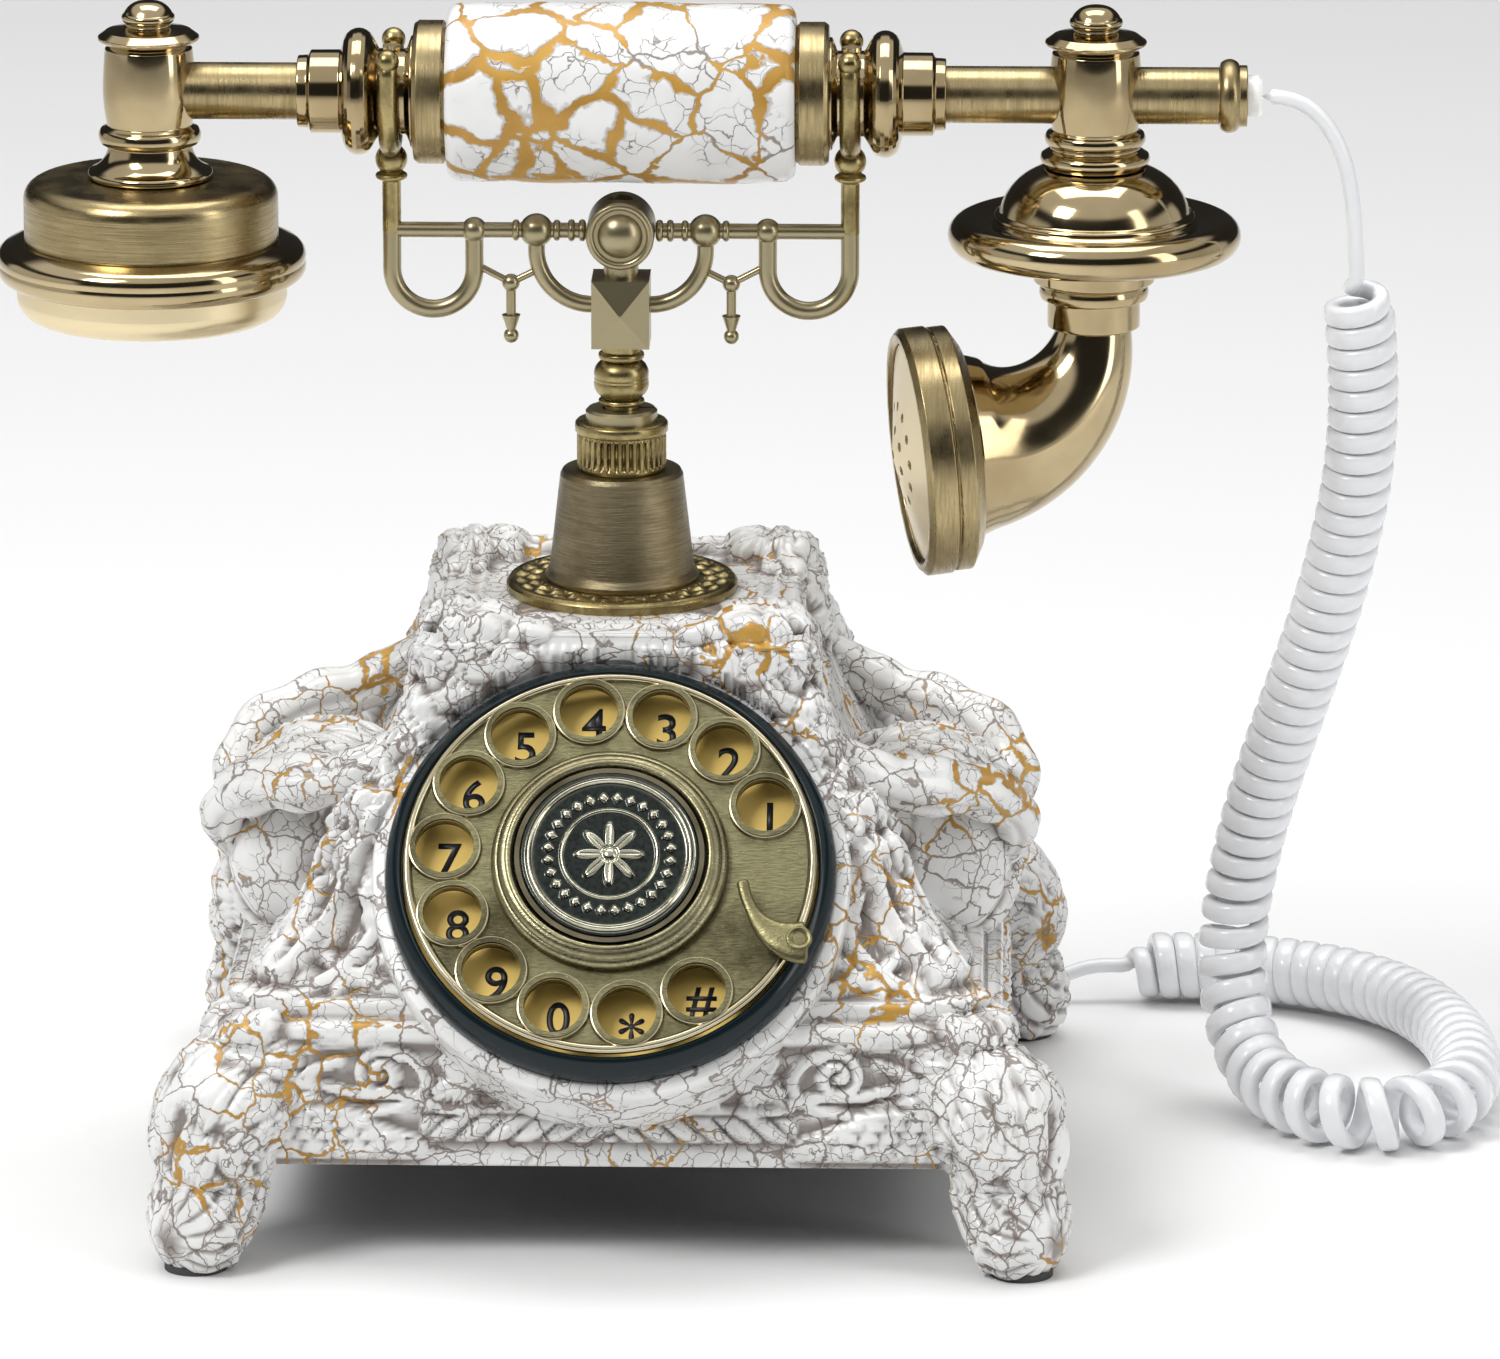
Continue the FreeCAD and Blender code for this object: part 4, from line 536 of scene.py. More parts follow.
RIM = metal("bright_rim", (0.62, 0.56, 0.39), (0.33, 0.27, 0.15), 0.13, size=80.0, blotch=0.4)
# Painted shade: this darker brass on the centre post stands in for the shade in its groove between the button
# and the raised ring.
GROOVE_SHADE_BRASS = metal("groove_shade_brass", (0.16, 0.14, 0.09), (0.04, 0.035, 0.022), 0.3, size=120.0,
                   blotch=0.8)


def medallion():
    """Dark lacquered metal whose raised work is polished bright."""
    material, tree, shader, spot = new_material("medallion", (0.02, 0.025, 0.024), 1.0, 0.2)
    shine = add_node(tree, "ShaderNodeAttribute", {"attribute_name": "shine"}).outputs["Fac"]
    tarnish = place_group(tree, TARNISH, Vector=spot, Size=240.0)
    bright = mix_colour(tree, maths(tree, "MULTIPLY", tarnish["Dark"], 0.5),
                        colour(0.72, 0.70, 0.55), colour(0.30, 0.27, 0.17))
    dark = mix_colour(tree, tarnish["Rough"], colour(0.045, 0.055, 0.05), colour(0.02, 0.022, 0.02))
    tree.links.new(mix_colour(tree, shine, dark, bright), shader.inputs["Base Color"])
    tree.links.new(maths(tree, "MULTIPLY_ADD", tarnish["Rough"], 0.12, 0.14),
                   shader.inputs["Roughness"])
    bump(tree, shader, tarnish["Rough"], 0.05, 0.0002)
    return material


MEDALLION = medallion()
GRIP_CRACKLE = crackle("grip_crackle", 62.0, 210.0, 0.085, 0.46, 0.028, 0.42)
BASE_CRACKLE = crackle("base_crackle", 100.0, 270.0, 0.06, 0.29, 0.032, 0.45, relief=True)
GLOSS_BLACK = plain("gloss_black", (0.006, 0.013, 0.016), 0.16, 700.0, 0.02)
GLOSS_BLACK.node_tree.nodes["Principled BSDF"].inputs["Specular IOR Level"].default_value = 0.28
CARD = plain("number_card", (0.60, 0.36, 0.045), 0.45, 1500.0, 0.05, vary=0.35)
INK = plain("ink", (0.02, 0.02, 0.025), 0.4, 1500.0, 0.03)
CORD_WHITE = plain("cord_white", (0.84, 0.85, 0.87), 0.22, 1200.0, 0.03, coat=0.3, vary=0.04)
WHITE_PLASTIC = plain("white_plastic", (0.80, 0.80, 0.79), 0.3, 1000.0, 0.05, vary=0.05)
BLACK_PLASTIC = plain("black_plastic", (0.02, 0.02, 0.022), 0.5, 1400.0, 0.2)
RUBBER = plain("rubber", (0.025, 0.025, 0.025), 0.75, 1600.0, 0.3)
STEEL = plain("steel", (0.55, 0.56, 0.57), 0.28, 900.0, 0.06, metallic=1.0)
BOARD = plain("circuit_board", (0.03, 0.17, 0.07), 0.4, 500.0, 0.1, vary=0.5)


# ---------------------------------------------------------------- the cord

CORD_ROUTE = (
    (143.5, 0, 247), (150.5, 0, 247), (157.5, 0, 242), (162.3, -0.3, 233), (164.4, -0.5, 221.5),
    (165.1, 0.2, 208.8), (166, 2, 198), (167.5, 5, 180), (167, 9, 160), (163.5, 15, 138),
    (158, 21, 116), (151.5, 28, 94), (145.5, 34, 73), (141.5, 39, 53), (139.8, 41, 36),
    (141, 37, 21), (145.5, 26.5, 11.2), (153, 12, 9.1), (165, 0, 9.1), (179.5, -0.5, 9.1),
    (190.5, 11, 9.1), (195, 30, 9.1), (194.5, 54, 9.1), (189, 78, 9.1), (178.5, 98.5, 9.1),
    (161, 112.5, 9.1), (140, 119, 9.1), (117, 118.5, 8.9), (108, 118.3, 9.1), (99.5, 117.4, 6),
    (90, 115.5, 3.2), (79, 114.5, 2.3), (68, 116.5, 2.4), (57, 120.5, 5), (48.5, 122.5, 12),
    (43, 121.5, 21), (40.5, 118.5, 29.5), (40, 113, 36), (40, 106.5, 36),
)
JACKET = 4.9                 # width of the cord's flat jacket
JACKET_THICK = 3.5           # and its thickness
COIL = 6.3                   # radius of the curls' middle line


def smooth_route(points):
    """The points that Blender gives along a NURBS spline whose control points are the route's."""
    data = bpy.data.curves.new("route", "CURVE")
    data.dimensions = "3D"
    data.resolution_u = 24
    spline = data.splines.new("NURBS")
    spline.points.add(len(points) - 1)
    for knot, point in zip(spline.points, points):
        knot.co = (*(part * MM for part in point), 1.0)
    spline.order_u = 3
    spline.use_endpoint_u = True
    holder = bpy.data.objects.new("route", data)
    bpy.context.scene.collection.objects.link(holder)
    bpy.context.view_layer.update()
    mesh = bpy.data.meshes.new_from_object(holder.evaluated_get(
        bpy.context.evaluated_depsgraph_get()))
    line = np.zeros(len(mesh.vertices) * 3)
    mesh.vertices.foreach_get("co", line)
    bpy.data.objects.remove(holder)
    return line.reshape(-1, 3) / MM


def distance_along(line):
    """Distance from the line's start to each of its points."""
    return np.concatenate([[0.0], np.cumsum(np.linalg.norm(np.diff(line, axis=0), axis=1))])


def curled_line(line, first, last):
    """The jacket's middle line, which way is out from the route, and how far it is wound.

    At distance d the middle line stands off the route by a radius that grows from 0 and falls
    back to 0, at an angle whose rate is one turn per pitch; the pitch opens at the loop's front.
    """
    along = distance_along(line)
    fine = np.linspace(0, along[-1], 9000)
    route = np.stack([np.interp(fine, along, line[:, axis]) for axis in range(3)], axis=1)
    for _ in range(6):
        route[1:-1] = (route[:-2] + 2 * route[1:-1] + route[2:]) / 4
    tangent, side, normal = frames_along(route, (0, 1, 0))
    opened = np.exp(-((fine - (last - 168)) / 50) ** 2)
    landing = np.exp(-((fine - (last - 250)) / 30) ** 2)
    pitch = 5.15 + 3.9 * opened + 1.6 * landing
    rise = np.clip((fine - first) / 8, 0, 1) * np.clip((last - fine) / 8, 0, 1)
    standing = rise * rise * (3 - 2 * rise)
    wide = (COIL + 0.5 * opened) * standing
    rate = 2 * math.pi / pitch * standing ** 0.7
    angle = np.concatenate([[0.0], np.cumsum((rate[1:] + rate[:-1]) / 2 * np.diff(fine))])
    count = int(angle[-1] / (2 * math.pi) * 20) + 300
    measure = angle / angle[-1] * 0.86 + fine / fine[-1] * 0.14
    at = np.interp(np.linspace(0, 1, count), measure, fine)
    read = [np.interp(at, fine, values) for values in
            (angle, wide, standing, *route.T, *side.T, *normal.T)]
    middle, across, upward = (np.stack(read[start:start + 3], axis=1) for start in (3, 6, 9))
    out = across * np.cos(read[0])[:, None] + upward * np.sin(read[0])[:, None]
    return middle + out * read[1][:, None], out, read[2]


def band(middle, out, wound):
    """A flat jacket where it is wound and a round one where it isn't.

    Its section at angle a is thick cos(a) outward and wide sin(a) along the coil, squared off
    by powers of less than 1.
    """
    ahead = np.gradient(middle, axis=0)
    ahead /= np.linalg.norm(ahead, axis=1)[:, None]
    out = out - ahead * (out * ahead).sum(axis=1)[:, None]
    out /= np.linalg.norm(out, axis=1)[:, None]
    beside = np.cross(ahead, out)
    angle = np.linspace(0, 2 * math.pi, 14, endpoint=False)
    power = 1 - 0.35 * wound
    cosine, sine = np.cos(angle)[:, None], np.sin(angle)[:, None]
    thick = JACKET_THICK / 2 * np.sign(cosine) * np.abs(cosine) ** power[None]
    wide = (JACKET_THICK + (JACKET - JACKET_THICK) * wound) / 2
    wide = wide[None] * np.sign(sine) * np.abs(sine) ** power[None]
    taper = np.ones(len(middle))
    taper[[0, -1]] = 0
    grid = middle[None] + (thick[..., None] * out[None] + wide[..., None] * beside[None]) \
        * taper[None, :, None]
    return grid_form(grid, wrap_u=True)


def build_cord():
    """One jacket all the way: straight lead, curls, straight lead to the plug."""
    line = smooth_route(CORD_ROUTE)
    along = distance_along(line)
    first = along[np.argmin(np.linalg.norm(line - np.array(CORD_ROUTE[6]), axis=1))]
    last = along[np.argmin(np.linalg.norm(line - np.array(CORD_ROUTE[27]), axis=1))]
    middle, out, wound = curled_line(line, first - 8, last + 2)
    cord = form_to_object("curly_handset_cord", band(middle, out, wound), CORD_WHITE)
    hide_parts("handset_lead", "curly_cord", "base_lead")
    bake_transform(cord)


build_cord()

# ---------------------------------------------------------------- handset

def outline(*points):
    """Points (r, z) of a profile from its foot to its top; a third number is that run's bow."""
    out = [points[0]]
    for point in points[1:]:
        out += bow(out[-1], point[:2], point[2]) if len(point) == 3 else [point]
    return out


def turned(*points, around=96, rounding=0.35, closed=False):
    """A turned form with rounded edges; a closed outline is a ring's."""
    return lathe(softened(outline(*points), rounding), around, closed)


def on_handset(form, across=0.0, rotation=None):
    return moved(form, (HANDSET[0] + across, HANDSET[1], HANDSET[2]), rotation)


def both_ends(form):
    """A form made along the handset's axis, at its own end and mirrored at the other."""
    along = moved(form, rotation=ALONG_X)
    return joined([on_handset(along), on_handset(mirrored(along))])


def build_handset_rod():
    rod = turned((0, -104), (6.4, -104), (6.4, 133.6), (7.4, 133.9), (7.4, 137.9, 0.9),
                 (6.9, 138.1), (6.9, 139.9), (0, 139.9), around=72)
    form_to_piece("handset_rod", on_handset(rod, rotation=ALONG_X), "handset",
                  BRUSHED_GOLD, ["handset_tube"])


def build_grip():
    """Cast sleeve: r is the profile's, times 1 + small sums of sines for its uneven surface."""
    steps = np.linspace(-36, 36, 60)
    barrel = [(20.25 - 0.35 * (z / 36) ** 4, z) for z in steps]
    profile = outline((0, -39), (16.9, -39), (barrel[0][0], barrel[0][1], 0.95), *barrel[1:],
                      (16.9, 39, 0.95), (0, 39))
    points, faces = lathe(softened(profile, 0.5), 160)
    angle = np.arctan2(points[:, 1], points[:, 0])
    lump = (np.sin(3 * angle + points[:, 2] * 0.11) + np.sin(5 * angle - points[:, 2] * 0.19)
            + np.sin(2 * angle + points[:, 2] * 0.31))
    swell = 1 + 0.0035 * lump[:, None]
    points[:, :2] *= swell
    form_to_piece("grip_sleeve", on_handset((points, faces), rotation=ALONG_X), "handset",
                  GRIP_CRACKLE, ["grip"])


def build_grip_bands():
    band = turned((0, 38.9), (15.2, 38.9), (15.6, 39.6), (16.1, 39.9), (16.1, 45.4), (15.4, 46.4),
                  (12, 46.6), (0, 46.6))
    form_to_piece("grip_bands", both_ends(band), "handset", BRUSHED_GOLD,
                  ["ferrules"])


def build_grip_necks():
    neck = turned((0, 46.4), (12.5, 46.4), (12.5, 47.2, 0.2), (9.7, 48.2), (9.7, 54.4),
                  (12.3, 55.8), (12.3, 62.1, 2.0), (9.4, 63.0), (9.35, 69.6), (8.2, 70.3),
                  (8.05, 72.6), (0, 72.6))
    form_to_piece("grip_necks", both_ends(neck), "handset", POLISHED, ["necks"])


def post_points(*foot):
    """A foot's outline, then the barrel that the handset's rod runs through."""
    return foot + ((9.6, -7.6), (10.4, 0, 0.18), (9.8, 9.7, 0.12), (9.2, 10.5), (0, 10.5))


def build_posts():
    receiver = turned(*post_points((0, -20.4), (11.2, -20.4), (13.9, -19.6), (13.7, -18.0, 0.3),
                                   (9.6, -13.4, -0.8), (9.4, -12.2), (11, -11.8), (11, -8.6, 0.5),
                                   (10.2, -8.2)))
    microphone = turned(*post_points((0, -16.1), (11.5, -16.1), (12, -15.2), (12, -13.2, 0.3),
                                     (10, -11.9), (10.2, -11.2), (10.9, -10.9), (10.9, -8.4, 0.4),
                                     (10.1, -8.1)))
    both = joined([on_handset(receiver, -POST), on_handset(microphone, POST)])
    form_to_piece("end_posts", both, "handset", POLISHED,
                  ["receiver_post", "mic_post"])


def build_knobs():
    knob = turned((0, 10.4), (9.4, 10.4), (11.1, 11.6), (11.1, 12.6, 0.3), (9.6, 13.7), (6.2, 14.4),
                  (5.0, 14.8), (5.0, 15.4), (5.5, 15.7), (5.5, 17.6, 0.5), (0.01, 20.3, 1.1),
                  around=64, rounding=0.25)
    both = joined([on_handset(knob, -POST), on_handset(knob, POST)])
    form_to_piece("knobs", both, "handset", POLISHED, ["finials"])


def build_receiver():
    """The receiver's bell and the bulging band below it."""
    bell = turned((0, -34.1), (28.6, -34.1), (28.6, -24.6), (24.4, -20.3, 1.3), (15, -19.9),
                  (0, -19.8), around=128)
    form_to_piece("receiver_bell", on_handset(bell, -POST), "handset",
                  BRUSHED_BELL, ["receiver_shell"])
    band = turned((0, -43.5), (31, -43.5), (33, -42.9), (34.6, -38.9, 0.8), (33.2, -35.2, 0.7),
                  (31, -34.3), (30, -34.0), (0, -34.0), around=128)
    form_to_piece("receiver_band", on_handset(band, -POST), "handset", POLISHED,
                  ["receiver_ring"])


def build_microphone_dome():
    dome = turned((0, -36.2), (28.6, -36.2), (32.9, -31.9, 1.26), (28.6, -27.8, 1.26),
                  (23.4, -28.6), (22.6, -28.0), (22.2, -26.8, 0.2), (21.4, -26.4),
                  (9.6, -16.1, 2.5), (0, -16.0), around=128)
    form_to_piece("microphone_dome", on_handset(dome, POST), "handset", POLISHED,
                  ["mic_dome"])


HORN_TOP = 52.8
HORN_BEND = 26.5
HORN_TURN = 85.0             # degrees
HORN_TAIL = 4.5
SWING = turn_matrix("Z", 10)


def horn_point(angle, tail):
    """A point of the horn's middle line: round the bend by an angle, then straight on."""
    return np.stack([HORN_BEND * (np.cos(angle) - 1) - tail * np.sin(angle), angle * 0,
                     -HORN_TOP - HORN_BEND * np.sin(angle) - tail * np.cos(angle)], axis=-1)


def build_horn():
    """Collar, and a tube along a bend whose radius is 8.4 + 12.6 share^1.15."""
    share = np.linspace(0, 1, 60)
    angle = np.radians(HORN_TURN) * np.minimum(share * 9 / 8, 1)
    tail = HORN_TAIL * np.maximum(0, share * 9 - 8)
    bell = sweep(horn_point(angle, tail), 8.4 + 12.6 * share ** 1.15, 96, up=(0, 1, 0))
    collar = turned((0, -52.8), (10.4, -52.8), (10.4, -46.7), (12, -46.2), (12, -43.3, 0.3),
                    (12.6, -42.8), (13.6, -42.3), (13.6, -36.3), (0, -36.3))
    both = joined([bell, collar])
    form_to_piece("speaking_horn", on_handset(both, POST, SWING), "handset",
                  POLISHED, ["horn"])
    lip = turned((16, 0), (23.5, 0), (27.6, 2.4), (27.6, 5.8), (27, 6.4), (28, 6.9), (28, 12.2),
                 (26.7, 13.5), (25.4, 13.5), (24.6, 12.6), (24.6, 2), (16, 2), around=128,
                 closed=True)
    mouth = SWING @ turn_matrix("Y", 180 + HORN_TURN)
    at = SWING @ horn_point(np.radians(HORN_TURN), HORN_TAIL + 0.1)
    lip = moved(moved(lip, at, mouth), (HANDSET[0] + POST, 0, HANDSET[2]))
    form_to_piece("horn_lip", lip, "handset", BRUSHED_LIP, ["mouth_ring"])


build_handset_rod()
build_grip()
build_grip_bands()
build_grip_necks()
build_posts()
build_knobs()
build_receiver()
build_microphone_dome()
build_horn()


# ---------------------------------------------------------------- stem

def build_flange():
    """Embossed plate: leaf lattice of height 0.5 |sin(16a + r)| |sin(16a - r)| between its rims."""
    profile = softened(outline((0, DECK), (26.2, DECK), (26.2, DECK + 1.9), (25.4, DECK + 2.8)), 0.3)
    inner = np.array([(r, DECK + 2.8) for r in np.linspace(25.2, 17.0, 34)] + [(0.0, DECK + 2.8)])
    points, faces = lathe(np.concatenate([profile, inner]), 288)
    radius = np.hypot(points[:, 0], points[:, 1])
    angle = np.arctan2(points[:, 1], points[:, 0])
    top = points[:, 2] > DECK + 2.7
    field = np.clip((radius - 18.4) / 0.4, 0, 1) * np.clip((24.3 - radius) / 0.4, 0, 1) * top
    leaf = np.abs(np.sin(12 * angle + radius * 0.55)) * np.abs(np.sin(12 * angle - radius * 0.55))
    vein = 0.5 + 0.5 * np.cos(48 * angle) * np.cos(radius * 2.4)
    points[:, 2] += field * (0.75 * leaf + 0.25 * vein * leaf - 0.45)
    form_to_piece("embossed_plate", (points, faces), "base", ANTIQUE,
                  ["stem_flange"])


def build_bell():
    bell = turned((0, 135.2), (17.2, 135.2), (17.4, 136.4, 0.15), (16.5, 137.8), (16.3, 138.4),
                  (13.9, 159.4), (13.3, 160.5), (0, 160.5), around=128)
    form_to_piece("stem_skirt", bell, "base", BELL, ["stem_bell"])


def build_collar():
    """Fluted collar: its radius falls by 0.75 at the 36 grooves; smooth rings above and below."""
    heights = np.array([160.4, 160.4, 160.9, 161.3, 161.7, 162.1, 168.2, 168.6, 169.0, 169.1, 169.5,
                        171.2, 171.7, 171.8, 171.8])
    outward = np.array([0, 9.7, 10.0, 10.0, 10.0, 10.1, 10.1, 10.0, 9.6, 10.2, 10.5, 10.5, 10.1, 9.6,
                        0])
    carved = (heights > 161.8) & (heights < 168.4)
    angle = np.linspace(0, 2 * math.pi, 432, endpoint=False)
    groove = np.abs(np.cos(angle * 18)) ** 3.0
    radius = outward[None] - 1.0 * (1 - groove)[:, None] ** 2 * carved[None]
    radius = np.where(outward[None] > 0, radius, 0)
    grid = np.stack([np.cos(angle)[:, None] * radius, np.sin(angle)[:, None] * radius,
                     np.broadcast_to(heights, radius.shape)], axis=2)
    form_to_piece("fluted_collar", grid_form(grid, wrap_u=True), "base", ANTIQUE,
                  ["knurled_collar"])


def build_rod():
    """The hook's rod with its ball, from inside the stem to the block."""
    rod = turned((0, 150), (4, 150), (4, 175.4), (5.0, 175.8), (5.0, 176.7, 0.2), (3.9, 177.0),
                 (6.1, 181.0, 0.9), (6.15, 181.4), (6.1, 181.8), (3.9, 185.8, 0.9), (5.0, 186.1),
                 (5.0, 187.4, 0.2), (4.3, 187.7), (4.3, 189.7), (0, 189.7), around=72, rounding=0.2)
    form_to_piece("hook_stalk", rod, "hook", ANTIQUE, ["hook_rod"])


FORK_BEND = 12.4             # radius of the fork's middle line, clear of the handset's neck


def build_fork(side, name):
    """A U of round rod under the handset's neck, on a knuckle and a stalk, with ball tips."""
    x = side * 51.5
    bend = arc_path((x, 0, 247), FORK_BEND, 180, 360, 40, "YZ")
    rise = np.array([(x, -FORK_BEND, z) for z in (256.0, 253.0, 250.0)])
    path = np.concatenate([rise, bend, rise[::-1] * np.array([1, -1, 1])])
    parts = [sweep(path, 2.3, 20, up=(1, 0, 0)), ball(2.7, (x, -FORK_BEND - 0.2, 256.4)),
             ball(2.7, (x, FORK_BEND + 0.2, 256.4)), ball(3.6, (x, 0, 231.6)),
             moved(turned((0, 215), (2.1, 215), (2.1, 226.6), (3.3, 227.2), (3.3, 228.4, 0.3),
                          (2.2, 229.0), (2.2, 236), (0, 236), around=40, rounding=0.15), (x, 0, 0))]
    form_to_piece(name + "_cradle_fork", joined(parts), "hook", ANTIQUE,
                  [name + "_fork"])


build_fork(-1, "left")
build_fork(1, "right")
build_flange()
build_bell()
build_collar()
build_rod()


# ---------------------------------------------------------------- dial

def flat_piece(name, form, body, material, stands_for=(), marks=None):
    """A piece made about the dial's axis and set in the dial."""
    return form_to_piece(name, in_dial(form), body, material, stands_for, marks)


def dial_spot(angle, radius=PITCH):
    return (math.cos(angle) * radius, math.sin(angle) * radius)


def build_bezel():
    """Glossy ring round the wheel, open at its back."""
    ring = turned((46.2, -6.2), (49.6, -6.6), (50, -6), (50, -4, 0.1), (48.6, -1.2, 0.25),
                  (46.9, 0.0, 0.12), (46.2, -0.4, 0.1), around=192, closed=True, rounding=0.2)
    flat_piece("bezel_ring", ring, "base", GLOSS_BLACK)


def build_hole_rims():
    """A bright rounded rim round each finger hole, and a lip round the wheel's edge."""
    rims = []
    for angle in HOLE_ANGLES:
        rim = turned((6.45, -0.4), (6.45, 1.2), (6.75, 2.05, 0.1), (7.3, 2.3, 0.2), (8.0, 1.7, 0.2),
                     (8.4, 0.6), (8.4, -0.4), around=56, closed=True, rounding=0.12)
        spot = dial_spot(angle)
        rims.append(moved(rim, (spot[0], spot[1], 0)))
    flat_piece("finger_hole_rims", joined(rims), "dial", RIM)
    edge = turned((44.0, 0.2), (45.5, 0.2), (45.6, 1.2, 0.2), (44.9, 1.75, 0.2), (44.1, 1.2, 0.2),
                  around=192, closed=True, rounding=0.1)
    flat_piece("wheel_edge", edge, "dial", RIM)


def build_medallion():
    """Raised ring, then the button: bright rings, a ring of lozenges and a rosette."""
    ring = turned((21.3, 0.7), (26.4, 0.7), (26.3, 1.6), (24.9, 3.6, 0.5), (23.2, 4.9, 0.3),
                  (22.0, 5.1, 0.2), (21.3, 4.3), around=160, closed=True)
    flat_piece("raised_ring", ring, "dial", RING, ["centre_ring"])
    radial = np.concatenate([[0.0], np.linspace(0.4, 18.9, 76), [19.3, 19.6, 19.6, 0.0]])
    angle = np.linspace(0, 2 * math.pi, 240, endpoint=False)
    a, r = np.meshgrid(angle, radial, indexing="ij")
    height = np.full(r.shape, 5.05)
    petal = np.abs(np.cos(a * 4)) ** 1.4
    rosette = (1 - ease(r / (2.6 + 5.6 * petal), 0.82, 1.0)) * ease(r, 1.4, 2.2)
    vein = 1 - 0.6 * np.exp(-((np.sin(a * 4)) * r / 0.55) ** 2)
    height = height + 0.55 * rosette * (0.55 + 0.45 * vein)
    height += 0.7 * np.sqrt(np.clip(1 - (r / 1.5) ** 2, 0, 1))
    turn = (a / (2 * math.pi) * 28) % 1 - 0.5
    lozenge = 1 - ease(np.abs(turn) * 2 + np.abs(r - 13.6) / 1.9, 0.55, 0.8)
    height += 0.5 * lozenge
    height += 0.6 * np.exp(-((r - 10.6) / 0.28) ** 2) + 0.65 * np.exp(-((r - 17.9) / 0.5) ** 2)
    height[:, -4:] = (5.45, 5.1, 3.9, 3.9)
    grid = np.stack([np.cos(a) * r, np.sin(a) * r, height], axis=2)
    flat_piece("button_face", grid_form(grid, wrap_u=True), "button", MEDALLION,
               ["handsfree_button"], {"shine": medallion_shine(a, r)})


def medallion_shine(a, r):
    """Where the button is bright: its two rings, its lozenges and its rosette."""
    petal = np.abs(np.cos(a * 4)) ** 1.4
    rosette = (1 - ease(r / (2.6 + 5.6 * petal), 0.82, 1.0))
    turn = (a / (2 * math.pi) * 28) % 1 - 0.5
    lozenge = 1 - ease(np.abs(turn) * 2 + np.abs(r - 13.6) / 1.9, 0.55, 0.8)
    rings = np.maximum(np.exp(-((r - 10.6) / 0.34) ** 2), np.exp(-((r - 17.9) / 0.7) ** 2))
    return np.maximum(rings, np.maximum(0.8 * lozenge, 0.65 * rosette))


def build_digits():
    """The figures on the number plate, as thin raised prints, one behind each finger hole."""
    marks = "1234567890*#"
    forms = []
    for mark, angle in zip(marks, HOLE_ANGLES):
        data = bpy.data.curves.new("figure", "FONT")
        data.body = mark
        data.align_x = "CENTER"
        data.align_y = "CENTER"
        data.size = 11.0 if mark != "*" else 13.5
        data.extrude = 0.04
        data.offset = 0.15
        holder = bpy.data.objects.new("figure", data)
        bpy.context.scene.collection.objects.link(holder)
        bpy.context.view_layer.update()
        mesh = bpy.data.meshes.new_from_object(holder.evaluated_get(
            bpy.context.evaluated_depsgraph_get()))
        mesh.calc_loop_triangles()
        points = np.zeros(len(mesh.vertices) * 3)
        mesh.vertices.foreach_get("co", points)
        points = points.reshape(-1, 3)
        faces = np.zeros(len(mesh.loop_triangles) * 3, int)
        mesh.loop_triangles.foreach_get("vertices", faces)
        bpy.data.objects.remove(holder)
        middle = (points.min(axis=0) + points.max(axis=0)) / 2
        points[:, :2] -= middle[:2]
        spot = dial_spot(angle)
        forms.append(moved((points, faces.reshape(-1, 3)), (spot[0] + 0.9, spot[1] - 0.4, -4.94)))
    flat_piece("figures", joined(forms), "base", INK)


def build_lever():
    """Comma-shaped finger stop: a smooth band that widens and thickens to a round end."""
    line = np.array(((29.4, -5.9), (30.4, -10.5), (32.6, -15.4), (36.4, -19.2), (41.0, -21.0),
                     (44.2, -20.8)), float)
    fine = np.linspace(0, len(line) - 1, 60)
    path = np.stack([np.interp(fine, np.arange(len(line)), line[:, axis]) for axis in (0, 1)], 1)
    for _ in range(25):
        path[1:-1] = (path[:-2] + 2 * path[1:-1] + path[2:]) / 4
    share = np.linspace(0, 1, len(path))
    wide = 1.35 + 3.6 * ease(share, 0.25, 0.9)
    ends = np.minimum(1, np.sqrt(np.clip(1 - ((share - 0.93) / 0.07) ** 2, 0, 1)) * (share > 0.93)
                      + (share <= 0.93)) * np.minimum(1, np.sqrt(share / 0.03))
    wide = wide * ends
    angle = np.linspace(0, 2 * math.pi, 28, endpoint=False)
    way = np.gradient(path, axis=0)
    way /= np.linalg.norm(way, axis=1)[:, None]
    across = np.stack([way[:, 1], -way[:, 0]], axis=1)
    lateral = np.sign(np.cos(angle)) * np.abs(np.cos(angle)) ** 0.75
    upward = np.sign(np.sin(angle)) * np.abs(np.sin(angle)) ** 0.75
    flat = path[None] + lateral[:, None, None] * across[None] * wide[None, :, None]
    rise = 5.1 + upward[:, None] * (0.9 + 0.55 * ease(share, 0.2, 0.8))[None] * np.minimum(1, wide / 1.2)
    grid = np.concatenate([flat, rise[..., None]], axis=2)
    form = grid_form(grid, wrap_u=True)
    rim = turned((1.2, 0.0), (2.7, 0.0), (2.9, 0.35, 0.1), (2.3, 0.55, 0.1), (1.3, 0.2), around=40,
                 closed=True, rounding=0.1)
    flat_piece("finger_stop", joined([form, moved(rim, (42.2, -20.5, 6.3))]), "lever",
               LEVER, ["redial_lever"])


def build_button_spring():
    """Coil under the button, between the number plate and the button."""
    turn = np.linspace(0, 6.5 * 2 * math.pi, 260)
    path = np.stack([np.cos(turn) * 6.4, np.sin(turn) * 6.4,
                     -7.4 + 10.6 * turn / turn[-1]], axis=1)
    spring = form_to_object("button_coil", in_dial(sweep(path, 0.45, 10)), STEEL)
    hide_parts("button_spring")
    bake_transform(spring)


build_bezel()
build_hole_rims()
build_button_spring()
build_medallion()
build_digits()
build_lever()


# ---------------------------------------------------------------- finishes of the kept CAD nodes

